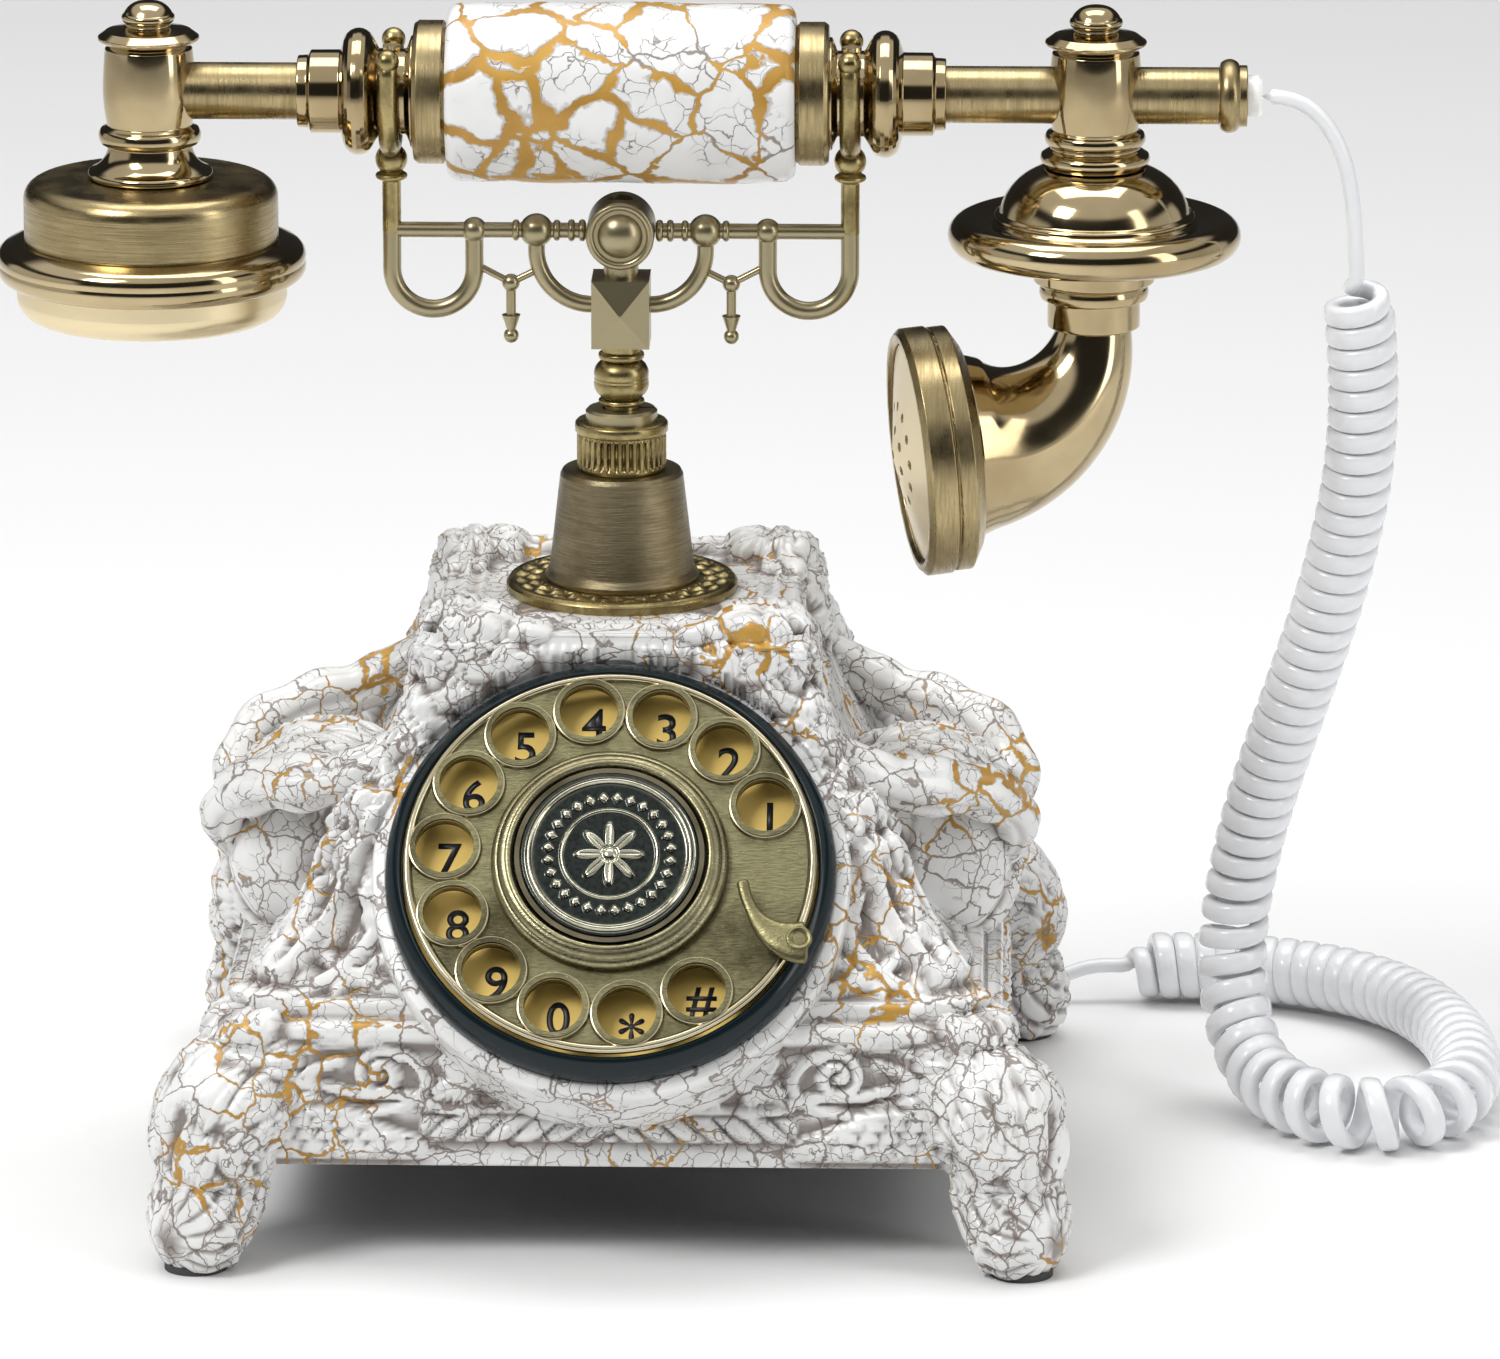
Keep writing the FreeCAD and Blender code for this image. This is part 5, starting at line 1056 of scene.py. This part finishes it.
KEPT = {
    "antique_brass": ("finger_wheel", "cradle_block", "cradle_boss", "left_arm", "right_arm",
                      "collar_cap"),
    # the centre post's darker brass is painted shade of its groove
    "groove_shade_brass": ("centre_post",),
    "polished_brass": ("ear_cap", "mouth_grille", "neck_screws"),
    "gloss_black": ("dial_housing",),
    "number_card": ("number_plate",),
    "steel": ("inner_screws", "cover_screws", "stem_tube", "stem_nut", "hook_cage",
              "return_spring", "hook_spring"),
    "circuit_board": ("main_board", "dial_board"),
    "black_plastic": ("ringer_speaker", "hook_switch", "ringer_switch", "bottom_cover",
                      "dial_gear", "governor_pinion", "receiver_capsule", "mic_capsule",
                      "line_jack", "handset_jack"),
    "white_plastic": ("cord_bush", "base_plug"),
    "rubber": ("foot_pads",),
}
FINISHES = {"finger_wheel": WHEEL}


def finish_kept_nodes():
    """Gives every CAD node that stays in view its own finish."""
    for material, names in KEPT.items():
        for name in names:
            chosen = FINISHES.get(name, bpy.data.materials[material])
            for slot in NODES[name].material_slots:
                slot.material = chosen


finish_kept_nodes()


# ---------------------------------------------------------------- carving

def bump_at(x, z, spot, reach, width, height, angle, vein=0.0):
    """An oval dome: height sqrt(1 - (along/reach)^2 - (across/width)^2), with a groove down it."""
    c, s = math.cos(angle), math.sin(angle)
    along = ((x - spot[0]) * c + (z - spot[1]) * s) / reach
    across = ((z - spot[1]) * c - (x - spot[0]) * s) / width
    dome = np.sqrt(np.clip(1 - along ** 2 - across ** 2, 0, 1))
    return height * (dome - vein * np.exp(-(across / 0.16) ** 2) * (dome > 0))


def leaf_cluster(x, z, spot, spread, count, size, height, seed, heading=None):
    """Leaves set round a spot, the highest of them at each point; the seed fixes their places."""
    draw = np.random.default_rng(seed)
    field = np.zeros_like(x)
    for number in range(count):
        turn = draw.uniform(0, 2 * math.pi)
        far = math.sqrt(draw.uniform(0, 1))
        at = (spot[0] + spread[0] * far * math.cos(turn), spot[1] + spread[1] * far * math.sin(turn))
        way = turn + draw.normal(0, 0.5) if heading is None else heading + draw.normal(0, 0.55)
        long = size * draw.uniform(0.7, 1.35)
        tall = height * draw.uniform(0.6, 1.1)
        field = np.maximum(field, bump_at(x, z, at, long, long * 0.48, tall, way, 0.28))
    return field


def stroke(x, z, line, radius, height, ridge=0.0):
    """A rounded band along a smooth line; radius and height run from the first to the second."""
    line = np.array(line, float)
    for _ in range(3):
        cut = np.empty((2 * len(line) - 2, 2))
        cut[0::2], cut[1::2] = line[:-1] * 0.75 + line[1:] * 0.25, line[:-1] * 0.25 + line[1:] * 0.75
        line = np.concatenate([line[:1], cut, line[-1:]])
    share = np.linspace(0, 1, len(line))
    gap = np.hypot(x[..., None] - line[:, 0], z[..., None] - line[:, 1])
    wide = radius[0] + (radius[1] - radius[0]) * share
    tall = height[0] + (height[1] - height[0]) * share
    ratio = gap / wide
    body = np.sqrt(np.clip(1 - ratio ** 2, 0, 1))
    body = body * (1 - ridge * np.exp(-(ratio / 0.3) ** 2))
    return (tall * body).max(axis=-1)


def spiral(spot, radius, turns, start, way=1, count=36):
    """Points of a spiral that closes in on its middle."""
    share = np.linspace(0, 1, count)
    angle = start + way * share * turns * 2 * math.pi
    far = radius * (1 - share) ** 0.8 + 0.2
    return np.stack([spot[0] + far * np.cos(angle), spot[1] + far * np.sin(angle)], axis=1)


def scales(x, z, step, height, slant=0.0):
    """Overlapping round scales in staggered rows: each rises to its free edge."""
    u = (x + z * slant) / step
    row = np.floor(z / step * 1.6)
    u = u + 0.5 * (row % 2)
    across = (u - np.floor(u) - 0.5) * 2
    down = z / step * 1.6 - row
    arc = np.clip(1 - across ** 2, 0, 1) ** 0.5
    return height * arc * (0.35 + 0.65 * (1 - down) ** 0.8)


def rope(x, z, level, radius, height, pitch):
    """Two-strand rope moulding: a half round cut by slanting grooves."""
    across = (z - level) / radius
    body = np.sqrt(np.clip(1 - across ** 2, 0, 1))
    lay = (x + (z - level) * 1.1) / pitch
    strand = np.abs(np.sin(math.pi * lay)) ** 0.7
    return height * body * (0.12 + 0.88 * strand)


# ---------------------------------------------------------------- base

FLARE = ((86.0, 54.0), (82.5, 55.0), (80.0, 57.5), (66.5, 71.5), (60.0, 80.0), (54.0, 91.0),
         (48.5, 104.0), (43.6, 118.0), (40.5, 129.0), (40.0, 132.5))


def behind_dial(grid):
    """Pushes what would stand in the dial's housing back to its floor, along the dial's axis."""
    local = (grid - np.array(DIAL)) @ IN_DIAL
    inside = (np.hypot(local[..., 0], local[..., 1]) < 52.0) & (local[..., 2] > -12.0)
    local[..., 2] = np.where(inside, -12.0, local[..., 2])
    return local @ IN_DIAL.T + np.array(DIAL)


def socket_panel(x, z):
    """1 within the plain panel at the back, where the sockets and the switch are."""
    return (1 - ease(x, 51, 54)) * ease(z, 26, 27.5) * (1 - ease(z, 47, 49))


def square_rows(rows, relief, columns, panel=None):
    """A square mitred body: half width and height come from its rows, moved out by the relief.

    Column s of side k goes to (s w, -w) turned by 90 k degrees, where w is the row's half width
    plus the relief's share along the row's own outward normal. A panel lies 1.8 mm in at the back.
    """
    rows = np.array(rows, float)
    way = np.gradient(rows, axis=0)
    way /= np.linalg.norm(way, axis=1)[:, None]
    out_half, out_up = way[:, 1], -way[:, 0]
    side = (np.arange(columns) / columns) * 2 - 1
    s, half = np.meshgrid(side, rows[:, 0], indexing="ij")
    height = np.broadcast_to(rows[:, 1], s.shape)
    same = relief(np.abs(s) * half, height, half)
    fields = [same, same, same, same]
    if panel is not None:
        share = panel(np.abs(s) * half, height)
        fields[2] = same * (1 - share) - 1.8 * share
    sides = []
    for number, raised in enumerate(fields):
        wide = half + raised * out_half
        tall = height + raised * out_up
        softer = 1 - 0.022 * ease(np.abs(s), 0.93, 1.0)
        flat = np.stack([s * wide * softer, -wide * softer, tall], axis=2)
        sides.append(flat @ turn_matrix("Z", 90 * number).T)
    return grid_form(behind_dial(np.concatenate(sides)), wrap_u=True), np.concatenate(fields)


def recess_shade_marks(raised, reach=5):
    """How far each point lies below its neighbours' mean height, for the painted shade in the carving's
    hollows.
    """
    # The value is painted shade: it darkens the lacquer where the carving is lower than its surroundings.
    mean = raised.copy()
    for axis in (0, 1):
        total = np.zeros_like(mean)
        for shift in range(-reach, reach + 1):
            total += np.roll(mean, shift, axis=axis)
        mean = total / (2 * reach + 1)
    return {"recess_shade": np.clip((mean - raised - 0.1) / 0.6, 0, 1)}


def plinth_relief(x, z, half):
    """Rope, panel with scrolls, shell, scaled knee and corner leaves; x is from the middle."""
    inside = ease(z, 35.0, 36.4) * (1 - ease(z, 49.6, 51.0)) * (1 - ease(x, 64.0, 66.0))
    field = -1.6 * inside
    field += 0.9 * ease(z, 50.8, 51.8)
    field -= 0.8 * ease(z, 27.4, 28.4) * (1 - ease(z, 33.6, 34.4)) * (1 - ease(x, 40, 42))
    raised = rope(x, z, 31.0, 2.9, 3.8, 6.4) * (1 - ease(x, 40, 42))
    for line, radius, height in (
            (spiral((51, 43), 5.6, 1.6, 2.4, -1), (1.2, 1.3), (1.6, 2.4)),
            (((66, 49), (60, 50), (52, 50), (44, 47), (40, 41), (44, 36), (52, 35)), (1.2, 1.4), (1.2, 2.0)),
            (((30, 35), (38, 36), (46, 38.5), (56, 38), (66, 41), (74, 43)), (1.5, 1.3), (2.0, 1.8)),
            (((60, 46), (66, 44), (70, 39)), (1.3, 1.5), (1.6, 2.2)),
            (((24, 36), (22, 42), (25, 48), (31, 49)), (1.2, 1.2), (1.6, 1.6))):
        raised = np.maximum(raised, stroke(x, z, line, radius, height, 0.25))
    shell = leaf_cluster(x, z, (33, 42), (4.2, 4.6), 16, 4.2, 2.6, 4)
    raised = np.maximum(raised, shell)
    wing = ease(x, 38, 44) * (1 - ease(z, 25 + 12 * ease(x, 38, 74) + 3, 25 + 12 * ease(x, 38, 74) + 5))
    wing = wing * ease(z, 23.5, 25.0)
    raised = np.maximum(raised, wing * (1.2 + scales(x - 60, z, 4.6, 1.7, 0.35)))
    raised = np.maximum(raised, leaf_cluster(x, z, (78, 45), (9, 6.5), 34, 5.6, 4.6, 11))
    raised = np.maximum(raised, leaf_cluster(x, z, (80, 34), (8, 7), 22, 6.0, 3.4, 12, 1.9))
    return field + raised


def flare_relief(x, z, half):
    """Ledge moulding, corner strips, swags, leaf columns, fluted panels and deck leaves."""
    edge = half - x
    field = 2.2 * np.exp(-((z - 57.0) / 1.5) ** 2)
    strip = (1 - ease(edge, 7.4, 8.2)) * ease(z, 60, 62) * (1 - ease(z, 97, 99))
    field += 2.4 * strip * (1 - 0.55 * np.exp(-((edge - 3.9) / 0.8) ** 2))
    field += 3.6 * np.exp(-((z - 86) / 15) ** 2) * ease(x, 22, 50)
    groove = np.cos((edge * 0.9 + (z - 60) * 0.55) * 2 * math.pi / 7.5)
    panel = ease(edge, 9, 11) * ease(z, 62, 65) * (1 - ease(z, 96, 99))
    field -= 0.7 * panel * ease(groove, 0.72, 1.0)
    raised = np.zeros_like(x)
    for line, radius, height in (
            (((46, 104), (50, 94), (52, 84), (56, 74), (64, 66), (72, 62)), (1.6, 2.2), (2.2, 3.0)),
            (((42, 102), (45, 92), (46, 82), (50, 71), (58, 63), (70, 58.5)), (1.2, 1.7), (1.8, 2.4)),
            (((38, 98), (40, 86), (43, 75), (50, 65), (60, 60)), (1.0, 1.3), (1.2, 1.6)),
            (((30, 62), (40, 59.5), (52, 60.5), (62, 65), (70, 72)), (1.4, 1.9), (1.6, 2.6)),
            (spiral((70, 63.5), 5.4, 1.4, 0.4, 1), (1.5, 1.5), (2.4, 3.2)),
            (((36, 112), (41, 109), (45, 104), (47, 98)), (2.2, 1.6), (2.6, 2.2)),
            (((0, 110.5), (16, 110.5), (30, 111), (38, 113)), (1.0, 1.2), (1.0, 1.4)),
            (((0, 128.5), (20, 128.5), (36, 128.5)), (1.1, 1.1), (1.0, 1.0))):
        raised = np.maximum(raised, stroke(x, z, line, radius, height, 0.3))
    for spot, spread, count, size, height, seed, heading in (
            ((47, 96), (4.2, 9), 40, 4.0, 4.4, 21, 1.9), ((51, 80), (3.6, 8), 26, 3.8, 3.2, 22, 2.2),
            ((43, 112), (5.5, 7), 40, 4.4, 4.4, 23, 2.0), ((29, 122), (12, 5.5), 46, 5.0, 4.4, 24, 2.6),
            ((36, 128), (7, 4.5), 26, 4.6, 4.8, 25, None), ((76, 62), (6.5, 5), 26, 4.6, 3.6, 26, None),
            ((12, 120), (6, 3), 8, 3.4, 1.6, 27, 2.9), ((66, 78), (3, 12), 24, 3.6, 3.0, 28, 1.7)):
        raised = np.maximum(raised, leaf_cluster(x, z, spot, spread, count, size, height, seed, heading))
    return field + raised


def deck_relief(x, z, half):
    """Raised frame lines and a leaf cluster in each corner of the deck; z is not used: the second coordinate
    is half, taken from the other side.
    """
    field = 0.9 * np.exp(-((half - 35.5) / 0.8) ** 2) + 0.6 * np.exp(-((half - 31.5) / 0.6) ** 2)
    corner = leaf_cluster(x, half, (34, 34), (7.5, 7.5), 42, 5.2, 4.8, 31)
    middle = leaf_cluster(x, half, (22, 35), (7, 3.2), 18, 4.6, 2.6, 32, 3.0)
    return field + np.maximum(corner, middle)


def dense_rows(points, step):
    """Points set along a profile at an even step."""
    points = np.array(points, float)
    along = distance_along(np.column_stack([points, np.zeros(len(points))]))
    at = np.linspace(0, along[-1], int(along[-1] / step) + 2)
    return np.stack([np.interp(at, along, points[:, axis]) for axis in (0, 1)], axis=1)


def build_plinth():
    rows = np.concatenate([[(0, 22.6), (80, 22.6)], dense_rows(((80, 22.2), (85.4, 22.0), (86, 22.6),
                           (86, 53.4), (85.6, 54), (78, 54.2)), 0.72), [(0, 54.2)]])
    form, raised = square_rows(rows, plinth_relief, 232, socket_panel)
    raised[:, :3] = 0
    form_to_piece("carved_plinth", form, "base", BASE_CRACKLE,
                  marks=recess_shade_marks(raised))


def build_flare():
    rows = np.concatenate([[(0, 53.0), (84, 53.0)], dense_rows(FLARE, 0.78)])
    form, raised = square_rows(rows, flare_relief, 168)
    form_to_piece("carved_flare", form, "base", BASE_CRACKLE, ["base_shell"],
                  recess_shade_marks(raised))
    rows = np.concatenate([[(0, 131.0), (39.5, 131.0)], dense_rows(((40.3, 131.6), (40.3, 132.0),
                           (39.6, 132.6), (22, 132.6)), 0.6), [(0, 132.6)]])
    deck, raised = square_rows(rows, deck_relief, 150)
    form_to_piece("carved_deck", deck, "base", BASE_CRACKLE,
                  marks=recess_shade_marks(raised))


def build_drum():
    """The round housing that the dial's bezel sits in."""
    drum = turned((0, -40), (51.5, -40), (53.0, -20), (53.3, -8.6), (52.9, -7.2), (50.4, -6.8),
                  (46.6, -7.4), (0, -7.4), around=160, rounding=0.8)
    points, faces = drum
    angle = np.arctan2(points[:, 1], points[:, 0])
    outer = np.hypot(points[:, 0], points[:, 1]) > 50
    swell = np.sin(angle * 9) * 0.12 + np.sin(angle * 23 + 1) * 0.08
    points[:, 0] += outer * swell * np.cos(angle)
    points[:, 1] += outer * swell * np.sin(angle)
    form_to_piece("dial_drum", in_dial((points, faces)), "base", BASE_CRACKLE)


LEG_PATH = ((66, 66, 39), (77, 77, 40), (85.5, 85.5, 36.5), (88, 88, 28), (86, 86, 20),
            (88.5, 88.5, 13.0), (93.5, 93.5, 9.5), (98.5, 98.5, 9.0))
LEG_WIDE = (7.0, 11.0, 14.4, 12.4, 9.8, 12.4, 12.4, 9.5)


def leg_form():
    """Cabriole leg: radius is the path's, times flutes below and scales on the knee."""
    knots = np.array(LEG_PATH, float)
    share = np.linspace(0, 1, len(knots))
    fine = np.linspace(0, 1, 120)
    path = np.stack([np.interp(fine, share, knots[:, axis]) for axis in range(3)], axis=1)
    wide = np.interp(fine, share, LEG_WIDE)
    for _ in range(60):
        path[1:-1] = (path[:-2] + 2 * path[1:-1] + path[2:]) / 4
        wide[1:-1] = (wide[:-2] + 2 * wide[1:-1] + wide[2:]) / 4
    wide = wide * np.clip((1 - fine) / 0.11, 0, 1) ** 0.42
    around = 144
    angle = np.linspace(0, 2 * math.pi, around, endpoint=False)
    a, t = np.meshgrid(angle, fine, indexing="ij")
    flutes = -0.9 * np.abs(np.cos(a * 7 + t * 2.0)) ** 6 * ease(t, 0.52, 0.62) * (1 - ease(t, 0.93, 0.99))
    girth = (a - math.pi) * 15
    leafy = leaf_cluster(girth, t * 90, (0, 24), (50, 26), 150, 7.0, 2.6, 41, 1.57)
    leafy = leafy * (1 - ease(t, 0.5, 0.62))
    plate = scales(girth, t * 90, 6.5, 1.2) * ease(t, 0.46, 0.54) * (1 - ease(t, 0.62, 0.70))
    scroll = 1.1 * np.exp(-((t - 0.80) / 0.018) ** 2)
    lift = flutes + leafy + plate + scroll
    tangent, side, normal = frames_along(path, (1, 1, 0))
    ring = np.cos(a)[..., None] * side[None] + np.sin(a)[..., None] * normal[None]
    radius = wide[None] + lift * np.minimum(1, wide / 5)[None]
    radius[:, [0, -1]] = 0
    grid = path[None] + ring * radius[..., None]
    grid[..., 2] = np.maximum(grid[..., 2], 0.9)
    return grid_form(grid, wrap_u=True), lift


def build_legs():
    form, lift = leg_form()
    forms = [moved(form, rotation=turn_matrix("Z", 90 * number)) for number in range(4)]
    form_to_piece("carved_legs", joined(forms), "base", BASE_CRACKLE,
                  marks=recess_shade_marks(np.tile(lift, (4, 1))))


def build_volutes():
    """Side volutes: rounded drums along Y of radius 23, under leaves."""
    t = np.linspace(0, 1, 110)
    a = np.linspace(0, 2 * math.pi, 150, endpoint=False)
    angle, share = np.meshgrid(a, t, indexing="ij")
    y = (share * 2 - 1)
    outline_r = np.clip(1 - np.abs(y) ** 4.5, 0, 1) ** 0.42
    girth = (angle - math.pi) * 23
    leafy = leaf_cluster(girth, y * 44, (0, 0), (74, 42), 330, 8.0, 3.4, 51, None)
    lift = leafy * np.minimum(1, outline_r * 1.6)
    radius = 21.5 * outline_r + lift * (outline_r > 0.02)
    radius[:, [0, -1]] = 0
    depth = y * 29
    grid = np.stack([np.cos(angle) * radius, np.sin(angle) * radius, depth], axis=2)
    form = moved(grid_form(grid, wrap_u=True), rotation=TOWARD_FRONT)
    forms = [moved(form, (68.0, 0, 74.0)), moved(form, (-68.0, 0, 74.0), turn_matrix("Z", 180))]
    form_to_piece("carved_volutes", joined(forms), "base", BASE_CRACKLE,
                  marks=recess_shade_marks(np.tile(lift, (2, 1))))


def build_shoulders():
    """S-scrolls from the deck's corners out to the volutes, tapering, with a groove along them."""
    line = np.array(((44, -40, 110), (52, -42, 103), (62, -40, 97.5), (74, -34, 96), (84, -27, 93),
                     (90, -20, 86), (90, -16, 78), (84, -15, 74)), float)
    fine = np.linspace(0, len(line) - 1, 70)
    path = np.stack([np.interp(fine, np.arange(len(line)), line[:, axis]) for axis in range(3)], 1)
    for _ in range(30):
        path[1:-1] = (path[:-2] + 2 * path[1:-1] + path[2:]) / 4
    share = np.linspace(0, 1, len(path))
    wide = 2.6 + 4.0 * np.sin(math.pi * share ** 0.8) ** 0.8
    angle = np.linspace(0, 2 * math.pi, 48, endpoint=False)
    grooves = 1 - 0.16 * np.abs(np.cos(angle * 2.5 + 0.6)) ** 10
    curl = 1 + 0.10 * np.sin(share * 34 + 1.0) * ease(share, 0.1, 0.3)
    points, faces = sweep(path, wide * curl, 48, up=(0, 0, 1))
    rings = points.reshape(48, -1, 3)
    inner = rings.mean(axis=0, keepdims=True)
    points = (inner + (rings - inner) * grooves[:, None, None]).reshape(-1, 3)
    scroll = (points, faces)
    forms = [scroll, mirrored(scroll)]
    forms += [moved(part, rotation=turn_matrix("Z", 180)) for part in forms]
    form_to_piece("shoulder_scrolls", joined(forms), "base", BASE_CRACKLE)


build_plinth()
build_flare()
build_drum()
build_legs()
build_volutes()
build_shoulders()


# ---------------------------------------------------------------- floor and light

def floor():
    """A wide pale floor with a fine grain."""
    span = 6.0
    corner = np.array([-span, span]) / MM
    x, y = np.meshgrid(corner, corner, indexing="ij")
    form = grid_form(np.stack([x, y, np.zeros((2, 2))], axis=2))
    material = plain("floor_paper", (0.86, 0.86, 0.86), 0.7, 300.0, 0.02, vary=0.02)
    mesh = bpy.data.meshes.new("floor")
    mesh.from_pydata((form[0] * MM).tolist(), [], form[1].tolist())
    mesh.materials.append(material)
    piece = bpy.data.objects.new("floor", mesh)
    bpy.context.scene.collection.objects.link(piece)


def area_light(name, place, target, size, power, tint=(1.0, 1.0, 1.0)):
    data = bpy.data.lights.new(name, "AREA")
    data.shape = "RECTANGLE"
    data.size, data.size_y = size
    data.energy = power
    data.color = tint
    lamp = bpy.data.objects.new(name, data)
    bpy.context.scene.collection.objects.link(lamp)
    lamp.location = place
    way = Vector(target) - Vector(place)
    lamp.rotation_mode = "QUATERNION"
    lamp.rotation_quaternion = way.to_track_quat("-Z", "Y")
    return lamp


def world():
    """A dim room with a wide bright ceiling and two bright walls, seen in the metal."""
    made = bpy.data.worlds.new("studio")
    made.use_nodes = True
    tree = made.node_tree
    background = tree.nodes["Background"]
    way = tree.nodes.new("ShaderNodeTexCoord").outputs["Generated"]
    parts = add_node(tree, "ShaderNodeSeparateXYZ", Vector=way).outputs
    ceiling = ramp(tree, parts["Z"], 0.52, 0.66)
    wall = ramp(tree, maths(tree, "ABSOLUTE", parts["X"]), 0.74, 0.84)
    low = ramp(tree, parts["Z"], 0.42, 0.30)
    wall = maths(tree, "MULTIPLY", wall, low)
    light = maths(tree, "MAXIMUM", maths(tree, "MULTIPLY", ceiling, 0.75), maths(tree, "MULTIPLY", wall, 0.6))
    tree.links.new(maths(tree, "ADD", light, 0.03), background.inputs["Strength"])
    background.inputs["Color"].default_value = colour(1.0, 1.0, 1.0)
    bpy.context.scene.world = made


floor()
area_light("key", (-0.9, -0.9, 1.5), (0.0, 0.0, 0.1), (0.6, 0.6), 18.0)
area_light("fill", (1.3, -0.7, 0.7), (0.0, 0.0, 0.12), (0.35, 1.3), 5.0)
area_light("top", (0.0, 0.3, 1.8), (0.0, 0.0, 0.1), (1.4, 0.9), 15.0)
world()
bpy.context.scene.view_settings.view_transform = "Standard"
